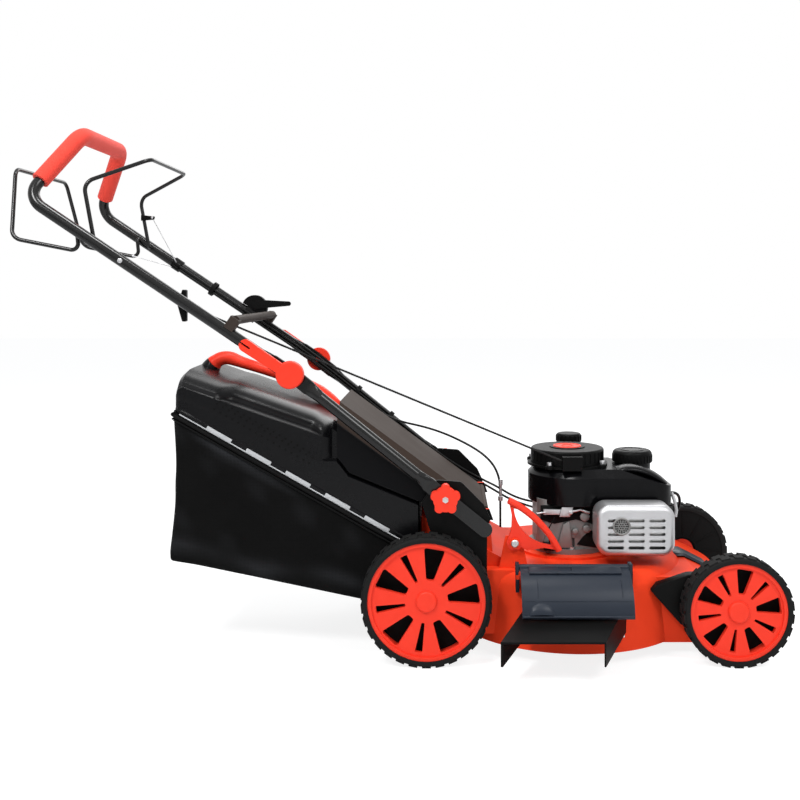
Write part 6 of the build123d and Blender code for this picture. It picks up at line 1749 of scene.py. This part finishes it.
    def rope(self) -> None:
        """Taut starter rope from the recoil to the guide, and its run into the T-handle."""
        distance, lift, side = self.rope_guide
        x, z = HANDLE.high(distance, lift)
        guide, end = Vector((x, side, z)), Vector(self.rope_end)
        along = (end - guide).normalized()
        seat = guide - along * 3.3
        split = seat.lerp(end, self.rope_share)
        self.bend(self.strands(split, end), "starter_rope_run", Tone.ROPE,
                  ("deck_body", "lower_handle_body"), tuple(end), tuple(split), ["starter_rope"],
                  smooth=70.0)
        self.bend(self.strands(seat, split), "starter_rope_top", Tone.ROPE,
                  ("lower_handle_body", "upper_handle_body"), tuple(split),
                  tuple(guide.lerp(split, 0.3)), smooth=70.0)
        back = seat - along * 18.0
        pull = Shape()
        pull.tube([seat.lerp(back, k / 40) for k in range(41)], 2.3, sides=8)
        self.bend(pull, "starter_rope_pull", Tone.ROPE,
                  ("upper_handle_body", "starter_handle_body"), tuple(seat), tuple(back),
                  smooth=70.0)

    def build(self) -> None:
        """Makes every cable and rope piece."""
        self.sheaths()
        self.wires()
        self.bracket()
        for index, (upper, distance) in enumerate(self.ties, 1):
            self.tie(index, upper, distance)
        self.rope()


@dataclass(frozen=True)
class EngineTrim(Bench):
    """Small parts on the engine that the frame leaves out."""

    body: str = "deck_body"
    cowl_top: float = 388.0
    cowl_half: float = 102.0
    cowl_reach: float = 110.0
    cowl_front: float = 236.0
    cowl_corner: float = 48.0
    cowl_middle: float = 16.0
    skirt_span: Pair = (70.0, 82.0)
    skirt_wall: float = 3.0
    brow_line: tuple[Point, ...] = (
        (100, 374, 4), (112, 383, 9), (130, 386.5, 11), (152, 386, 11), (182, 377, 10),
        (208, 362, 9), (226, 348, 6))
    brow_side: float = -56.0
    brow_half: float = 27.0
    recoil_top: float = 428.0
    boss_circle: float = 95.0
    boss_turns: tuple[float, ...] = (-122.0, -38.0, 62.0, 150.0)
    outlet_place: Point = (98.0, -188.0, 280.5)
    outlet_rings: tuple[tuple[float, int], ...] = ((0.0, 1), (5.0, 6), (10.0, 12), (13.6, 16))
    crankcase_side: float = -84.0
    lead_route: tuple[Point, ...] = (
        (254, 0, 268.5), (270, 0, 277.5), (268, -8, 315.5), (240, -30, 325.5), (222, -40, 321.5))
    stay_route: tuple[Point, ...] = (
        (237, -60, 330), (243, -66, 312), (246, -70, 290), (243, -72, 276))
    fuel_cap: Point = (160.0, 22.0, 418.05)
    oil_cap: Pair = (20.0, 134.0)

    def cowl_outline(self, inset: float) -> list[Pair]:
        """Plan of the cowl: round over the flywheel, square with round corners at the front.

        Args:
            inset: how far the outline is drawn in.

        Returns:
            The outline's points.
        """
        wide, reach = self.cowl_half - inset, self.cowl_reach - inset
        front, corner = self.cowl_front - inset, self.cowl_corner - inset
        start = math.degrees(math.asin(wide / reach))
        points = []
        for k in range(25):
            turn = math.radians(start + (360 - 2 * start) * k / 24)
            points.append((self.cowl_middle + reach * math.cos(turn), reach * math.sin(turn)))
        for side, first in ((-1, -90), (1, 0)):
            for k in range(9):
                turn = math.radians(first + 90 * k / 8)
                points.append((front - corner + corner * math.cos(turn),
                               side * (wide - corner) + corner * math.sin(turn)))
        return points

    def skirt(self) -> None:
        """Lower lip of the cowl that hangs over the crankcase."""
        top, low = (self.cowl_top - drop for drop in self.skirt_span)
        wall = self.skirt_wall
        rows = []
        for inset, z in ((0.0, top), (0.0, low + 1.0), (1.0, low), (wall, low), (wall, top)):
            rows.append([(x, y, z) for x, y in self.cowl_outline(inset)])
        shape = Shape()
        shape.grid(rows + rows[:1], close=True)
        self.fit(shape, "cowl_skirt", Tone.COWL, self.body)

    def brow(self) -> None:
        """Rounded swell of the cowl in front of the fuel cap."""
        path = [Vector((x, self.brow_side, z)) for x, z, _ in self.brow_line]
        shape = Shape()
        shape.tube(path, [(self.brow_half, tall) for _, _, tall in self.brow_line], sides=28)
        self.fit(shape, "cowl_brow", Tone.COWL, self.body, smooth=60.0, levels=1)

    def badge(self) -> None:
        """Plain red disc with a ring on the recoil starter."""
        profile = [(0.5, 0.2), (12, 0.2), (13, 1.6), (15, 1.6), (16, 0.6), (29, 0.6), (30.5, 1.8),
                   (33, 1.8), (34, 0.2), (34, 0.0)]
        shape = Shape()
        shape.lathe(profile, (0, 0, self.recoil_top + 2.05), UP, 48)
        self.fit(shape, "starter_badge", Tone.RED_PLASTIC, self.body)

    def bolts(self) -> None:
        """Silver bolts on bosses round the recoil housing."""
        bosses = Shape()
        places = []
        for turn in self.boss_turns:
            angle = math.radians(turn)
            x, y = self.boss_circle * math.cos(angle), self.boss_circle * math.sin(angle)
            bosses.lathe([(10, 0.3), (10, 6), (8.5, 8)], (x, y, self.cowl_top), UP, 20)
            places.append(((x, y, self.cowl_top + 12.0), (0.0, 0.0, angle)))
        self.fit(bosses, "recoil_bosses", Tone.BLACK_PLASTIC, self.body)
        self.fit_many(self.repeats.studs, "recoil_bolts", Tone.ZINC, self.body, places,
                      {"Radius": 0.0062, "Height": 0.008, "Sides": 6}, bevel=0.6)

    def outlet(self) -> None:
        """Round perforated outlet on the muffler guard, its holes drawn as dark discs of painted
        shade.
        """
        x, y, z = self.outlet_place
        profile = [(1, 0.2), (15, 0.2), (16.5, 2.4), (18.5, 2.8), (20, 2.0), (20, -1.5)]
        shape = Shape()
        shape.lathe(profile, self.outlet_place, RIGHT, 40)
        self.fit(shape, "outlet_ring", Tone.ALLOY, self.body)
        places = []
        for ring, count in self.outlet_rings:
            for turn in circle_turns(count):
                centre = (x + ring * math.cos(turn), y - 0.35, z + ring * math.sin(turn))
                places.append((centre, FACING_SIDE))
        self.fit_many(self.repeats.studs, "outlet_holes", Tone.DARK, self.body, places,
                      {"Radius": 0.0017, "Height": 0.0006, "Sides": 8})

    def linkage(self) -> None:
        """Governor rods under the cowl's right side."""
        shape = Shape()
        shape.block((-66, -97, 286), (-14, -89, 298))
        shape.plate([(-30, 282), (-6, 282), (2, 304), (-24, 304)], -101, -98)
        shape.tube([(-14, -95, 292), (6, -98, 295), (18, -98, 298), (40, -96, 290)], 3.2)
        shape.lathe([(5.5, 0), (5.5, 10), (3, 11)], (-4, -92, 292), RIGHT, 16)
        shape.tube([(-60, -96, 292), (-82, -98, 289)], 2.0)
        self.fit(shape, "governor_linkage", Tone.ZINC, self.body, bevel=0.8)

    def crankcase(self) -> None:
        """Cast bosses, dark plates of painted shade and brake bracket under the cowl's right side.
        """
        side = self.crankcase_side
        shape = Shape()
        for profile, x, z, corners in (
                ([(6, 0), (11, 0.5), (11, 8), (6.5, 9)], 30, 280, 24),
                ([(6, 0), (9, 0.5), (9, 10), (5, 11)], 34, 252, 20),
                ([(5, 0), (7.5, 0.5), (7.5, 9), (4, 10)], 8, 246, 20)):
            shape.lathe(profile, (x, side, z), RIGHT, corners)
        shape.plate([(-34, 208), (-20, 262), (-6, 270), (2, 208)], side - 6.0, side + 2.0)
        shape.plate([(-70, 207), (-58, 236), (-46, 238), (-40, 207)], side - 4.0, side + 2.0)
        self.fit(shape, "crankcase_bosses", Tone.ALLOY, self.body, bevel=1.2)
        # Dark plates of painted shade under the cowl's right side, over the block.
        shade_plates = Shape()
        shade_plates.plate([(-72, 272), (-40, 262), (10, 272), (62, 258), (66, 305), (-72, 305)],
                     -84.5, -82.2)
        shade_plates.plate([(12, 214), (60, 206), (62, 250), (40, 244), (26, 232)], -84.0, -82.2)
        self.fit(shade_plates, "crankcase_painted_shade", Tone.DARK, self.body, bevel=0.8)
        brake = Shape()
        brake.block((-66, -108, 206), (-38, -84, 222))
        brake.tube([(-52, -96, 222), (-56, -96, 250), (-40, -94, 280)], 1.6, sides=6)
        self.fit(brake, "brake_bracket", Tone.BLACK_PLASTIC, self.body, bevel=1.5)

    def stay(self) -> None:
        """Zinc stay of the muffler guard."""
        shape = Shape()
        shape.tube(self.stay_route, 4.0, sides=8)
        self.fit(shape, "guard_stay", Tone.ZINC, self.body)

    def lead(self) -> None:
        """Spark plug lead from the boot up into the cowl."""
        shape = Shape()
        shape.tube(smooth_route(self.lead_route), 3.5, sides=10)
        self.fit(shape, "plug_lead", Tone.SHEATH, self.body, smooth=60.0)

    def ribs(self, name: str, centre: Point, circle: float, count: int, size: Point,
             bevel: float) -> None:
        """Sets ribs round a cap.

        Args:
            name: name of the cap.
            centre: middle of the ribs.
            circle: radius that they stand on.
            count: how many.
            size: size of one rib, in metres.
            bevel: width of the broken edges.
        """
        x, y, z = centre
        places = []
        for turn in circle_turns(count):
            place = (x + circle * math.cos(turn), y + circle * math.sin(turn), z)
            places.append((place, (0.0, 0.0, turn)))
        self.fit_many(self.repeats.blocks, f"{name}_ribs", Tone.BLACK_PLASTIC, f"{name}_body",
                      places, {"Size": Vector(size)}, bevel)

    def caps(self) -> None:
        """Ribs round the fuel cap and the oil cap, and a ring on the fuel cap."""
        x, y, _ = self.fuel_cap
        self.ribs("fuel_cap", (x, y, 399.0), 47.0, 30, (0.0024, 0.004, 0.016), 0.5)
        profile = [(0.5, 0.1), (24, 0.1), (25, 1.2), (28, 1.2), (29, 0.1), (29, 0.0)]
        shape = Shape()
        shape.lathe(profile, self.fuel_cap, UP, 40)
        self.fit(shape, "fuel_cap_ring", Tone.BLACK_GLOSS, "fuel_cap_body", slot=PLAIN_SLOT)
        self.ribs("oil_cap", (*self.oil_cap, 430.0), 31.0, 18, (0.003, 0.005, 0.014), 0.6)

    def build(self) -> None:
        """Makes every piece of engine trim."""
        self.skirt()
        self.brow()
        self.badge()
        self.bolts()
        self.outlet()
        self.linkage()
        self.crankcase()
        self.stay()
        self.lead()
        self.caps()


@dataclass(frozen=True)
class DeckTrim(Bench):
    """Small parts on the deck: wedge brackets, nose strip, flap ribs and cable adjuster."""

    body: str = "deck_body"
    flap_body: str = "side_flap_body"
    wedge: tuple[Pair, ...] = (
        (154, 150), (170, 162), (236, 184), (262, 186), (262, 84), (222, 74))
    wedge_span: Pair = (197.0, 226.0)
    nose_line: tuple[Pair, ...] = (
        (236, 172.5), (246, 181), (272, 181), (330, 152), (338, 140.5))
    nose_rows: tuple[Pair, ...] = ((-34, 6.0), (-30, 0.0), (0, 0.0), (30, 0.0), (34, 6.0))
    flap_hinge: Pair = (-238.0, 204.0)
    flap_edge: Pair = (-320.0, 119.0)
    flap_bulge: float = 20.0
    flap_face: float = 2.0
    band_spans: tuple[tuple[Pair, Pair], ...] = (
        ((-113, -50), (0.02, 0.21)), ((-21, 84), (0.02, 0.21)), ((-50, -21), (0.15, 0.21)))
    band_lift: float = 4.5
    rib_places: Pair = (-97.0, 80.0)
    lift_start: float = -119.0
    lift_width: float = 56.0
    lift_height: float = 7.0
    rear_cap: tuple[Pair, ...] = (
        (-184.5, 288.0), (-193.5, 312.2), (-212.2, 312.2), (-212.2, 288.0))
    rear_cap_span: Pair = (150.4, 158.8)
    side_caps: tuple[Pair, ...] = ((-140.6, -132.7), (103.7, 111.6))
    lever_pivot: Point = (-139.0, -197.0, 245.0)
    adjuster_place: Point = (-157.5, 41.5, 315.0)

    def wedges(self) -> None:
        """Black wedge brackets behind the front wheels, and the strip over the nose."""
        for side, name in SIDES:
            shape = Shape()
            shape.plate(self.wedge, *sorted(side * edge for edge in self.wedge_span))
            self.fit(shape, f"wheel_wedge_{name}", Tone.BLACK_PLASTIC, self.body, bevel=3.0)
        strip = Shape()
        strip.grid([[(x, y, z - drop) for x, z in self.nose_line] for y, drop in self.nose_rows])
        self.fit(strip, "nose_strip", Tone.FLAP, self.body, wall=2.5, smooth=50.0)

    def flap_point(self, share: float, lift: float) -> Pair:
        """A place on the side flap's curved face.

        Args:
            share: share of the flap's depth, from the hinge.
            lift: distance from the face.

        Returns:
            The (y, z) place.
        """
        hinge = Vector(self.flap_hinge)
        span = Vector(self.flap_edge) - hinge
        out = Vector((span.y, -span.x)).normalized()
        bulge = self.flap_bulge * (1 - (2 * share - 1) ** 2)
        place = hinge + span * share + out * (bulge + self.flap_face + lift)
        return (place.x, place.y)

    def flap_band(self, shape: Shape, span: Pair, shares: Pair, lift: float) -> None:
        """Adds a raised band on the side flap.

        Args:
            shape: mesh to add to.
            span: its two ends along the mower.
            shares: its upper and lower edge, as shares of the flap's depth.
            lift: how far it stands off the face.
        """
        steps = [shares[0] + (shares[1] - shares[0]) * k / 5 for k in range(6)]
        ring = [self.flap_point(share, 0.1) for share in steps]
        ring += [self.flap_point(share, lift) for share in steps[::-1]]
        shape.span(*([(x, y, z) for y, z in ring] for x in span))

    def flap(self) -> None:
        """Hinge band with its notch, ribs and lip on the side flap."""
        band = Shape()
        for span, shares in self.band_spans:
            self.flap_band(band, span, shares, self.band_lift)
        self.fit(band, "side_flap_hinge_band", Tone.FLAP, self.flap_body, bevel=1.2)
        ribs = Shape()
        for x in self.rib_places:
            path = [(x, *self.flap_point(0.34 + 0.34 * k / 8, 0.1)) for k in range(9)]
            ribs.tube(path, 1.1, sides=6)
        for share, radius, start, end in ((0.74, 1.2, -128, 100), (0.98, 2.8, -131, 102)):
            place = self.flap_point(share, 0.1)
            ribs.tube([(x, *place) for x in (start, -40, 40, end)], radius, sides=8)
        self.fit(ribs, "side_flap_ribs", Tone.FLAP, self.flap_body, smooth=50.0)

    def finger_lift(self) -> None:
        """Hollow swell under which a finger lifts the side flap."""
        rows = []
        for k in range(13):
            u = k / 12
            x = self.lift_start + self.lift_width * u
            rise = math.sqrt(max(0.0, 1 - (2 * u - 1) ** 2))
            row = []
            for j in range(6):
                height = self.lift_height * math.sin(math.pi / 2 * j / 5) * rise
                share = 0.97 - 0.20 * rise * (1 - j / 5)
                row.append((x, *self.flap_point(share, 0.2 + height)))
            rows.append(row + [(x, *self.flap_point(0.975, 0.1))])
        shape = Shape()
        shape.grid(rows)
        self.fit(shape, "side_flap_finger_lift", Tone.FLAP, self.flap_body, wall=1.5, smooth=40.0)

    def hinge_caps(self) -> None:
        """Dark caps over the hinge ears of the rear lid and of the side flap."""
        shape = Shape()
        for side, _ in SIDES:
            shape.plate(self.rear_cap, *sorted(side * edge for edge in self.rear_cap_span))
        self.fit(shape, "rear_hinge_caps", Tone.BLACK_PLASTIC, self.body)
        shape = Shape()
        for low, high in self.side_caps:
            shape.block((low, -246.6, 190.0), (high, -222.0, 212.6))
            shape.block((low, -246.6, 152.0), (high, -238.0, 190.0))
        self.fit(shape, "side_hinge_caps", Tone.FLAP, self.body, bevel=0.8)

    def lever_screw(self) -> None:
        """Zinc screw head on the height lever's pivot."""
        profile = [(8.5, 0.2), (8.5, 2.0), (6.5, 3.6), (3.0, 3.8), (2.6, 2.4), (0.5, 2.4)]
        shape = Shape()
        shape.lathe(profile, self.lever_pivot, RIGHT, 24)
        self.fit(shape, "height_lever_screw", Tone.ZINC, self.body)

    def adjuster(self) -> None:
        """Zinc cable adjuster where the drive cable goes down into the deck."""
        profile = [(2.9, -27), (5.2, -26), (5.2, -12), (3.6, -11), (3.6, 14), (5.8, 15),
                   (5.8, 25), (2.9, 26)]
        shape = Shape()
        shape.lathe(profile, self.adjuster_place, Vector((-0.01, -0.01, -1.0)), 12)
        self.fit(shape, "cable_adjuster", Tone.ZINC, self.body)

    def build(self) -> None:
        """Makes every piece of deck trim."""
        self.wedges()
        self.flap()
        self.finger_lift()
        self.hinge_caps()
        self.lever_screw()
        self.adjuster()


@dataclass(frozen=True)
class WheelTrim(Bench):
    """Dark ribbed dish over the inner side of each wheel."""

    bore: float = 34.0
    lap: float = 1.5
    ribs: int = 12
    rib_gap: float = 12.0
    rib_size: Pair = (0.0014, 0.003)

    def dish(self, wheel: str) -> None:
        """Makes one wheel's dish and its ribs.

        Args:
            wheel: which wheel.
        """
        low, high = (Vector(c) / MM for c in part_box(f"{wheel}_rim"))
        x, z = (low.x + high.x) / 2, (low.z + high.z) / 2
        edge = (high.z - low.z) / 2 + self.lap
        inward = 1.0 if wheel.endswith("right") else -1.0
        face = high.y if inward > 0 else low.y
        body = f"{wheel}_wheel"
        profile = [(self.bore, 0.3), (self.bore, 1.2), (edge - 1.5, 1.2), (edge, 0.8), (edge, 0.3)]
        shape = Shape()
        shape.lathe(profile, (x, face, z), Vector((0, inward, 0)), 64, ring=True)
        self.fit(shape, f"{wheel}_dish", Tone.DARK, body)
        middle = (self.bore + edge) / 2
        places = []
        for turn in circle_turns(self.ribs):
            place = (x + middle * math.cos(turn), face + inward * 1.7, z - middle * math.sin(turn))
            places.append((place, (0.0, turn, 0.0)))
        size = Vector(((edge - self.bore - self.rib_gap) * MM, *self.rib_size))
        self.fit_many(self.repeats.blocks, f"{wheel}_dish_ribs", Tone.DARK, body, places,
                      {"Size": size}, bevel=0.5)

    def build(self) -> None:
        """Makes the dishes of all four wheels."""
        for wheel in WHEELS:
            self.dish(wheel)


@dataclass(frozen=True)
class HandleTrim(Bench):
    """Rivets, nuts and collars on the handle."""

    body: str = "upper_handle_body"
    rivets: tuple[tuple[float, int], ...] = ((567.0, 1), (526.0, 1), (441.0, -1))
    rivet_face: float = 12.6
    knob_face: float = 23.8
    grip_rise: Point = (85.0, 100.0, 148.0)
    grip_start: float = 49.0

    def pivots(self) -> None:
        """Rivet heads at the bail pivots."""
        places = []
        for distance, sign in self.rivets:
            x, z = HANDLE.high(distance)
            places.append(((x, sign * (HANDLE.upper_y + self.rivet_face), z), FACING_SIDE))
        self.fit_many(self.repeats.studs, "bail_rivets", Tone.ZINC, self.body, places,
                      {"Radius": 0.0055, "Height": 0.003, "Sides": 16}, bevel=0.8)

    def knob_bolts(self) -> None:
        """Washer and nut in the middle of each star knob."""
        profile = [(7.0, 0.1), (7.0, 0.9), (4.4, 1.0), (4.4, 4.0), (2.8, 4.7), (0.8, 4.8)]
        x, z = HANDLE.knob
        for sign, name in SIDES:
            face = sign * (HANDLE.lower_y + self.knob_face)
            shape = Shape()
            shape.lathe(profile, (x, face, z), Vector((0, sign, 0)), 6)
            self.fit(shape, f"knob_nut_{name}", Tone.STEEL, f"star_knob_{name}_body")

    def grip_seam(self) -> None:
        """Collars at both ends of the foam grip."""
        x, z = HANDLE.high(HANDLE.upper_span)
        forward, inward, rise = self.grip_rise
        for sign, name in SIDES:
            base = Vector((x, sign * HANDLE.upper_y, z))
            top = base + Vector((forward, -sign * inward, rise))
            axis = (top - base).normalized()
            shape = Shape()
            shape.lathe([(13.0, 0.0), (18.6, 0.2), (19.6, 1.2), (19.6, 3.0)],
                        tuple(base + axis * self.grip_start), axis, 32)
            self.fit(shape, f"grip_collar_{name}", Tone.RED_FOAM, self.body)

    def build(self) -> None:
        """Makes every piece of handle trim."""
        self.pivots()
        self.knob_bolts()
        self.grip_seam()


def main() -> None:
    """Builds the scene, one sub-assembly after the other."""
    logging.basicConfig(level=logging.INFO, format="%(name)s: %(message)s")
    book = FinishBook()
    repeats = Repeats()
    Studio().build()
    Paintwork(book).build()
    for assembly in (Cables, GrassBag, EngineTrim, DeckTrim, WheelTrim, HandleTrim):
        LOG.info("building %s", assembly.__name__)
        assembly(book, repeats).build()


if __name__ == "__main__":
    main()
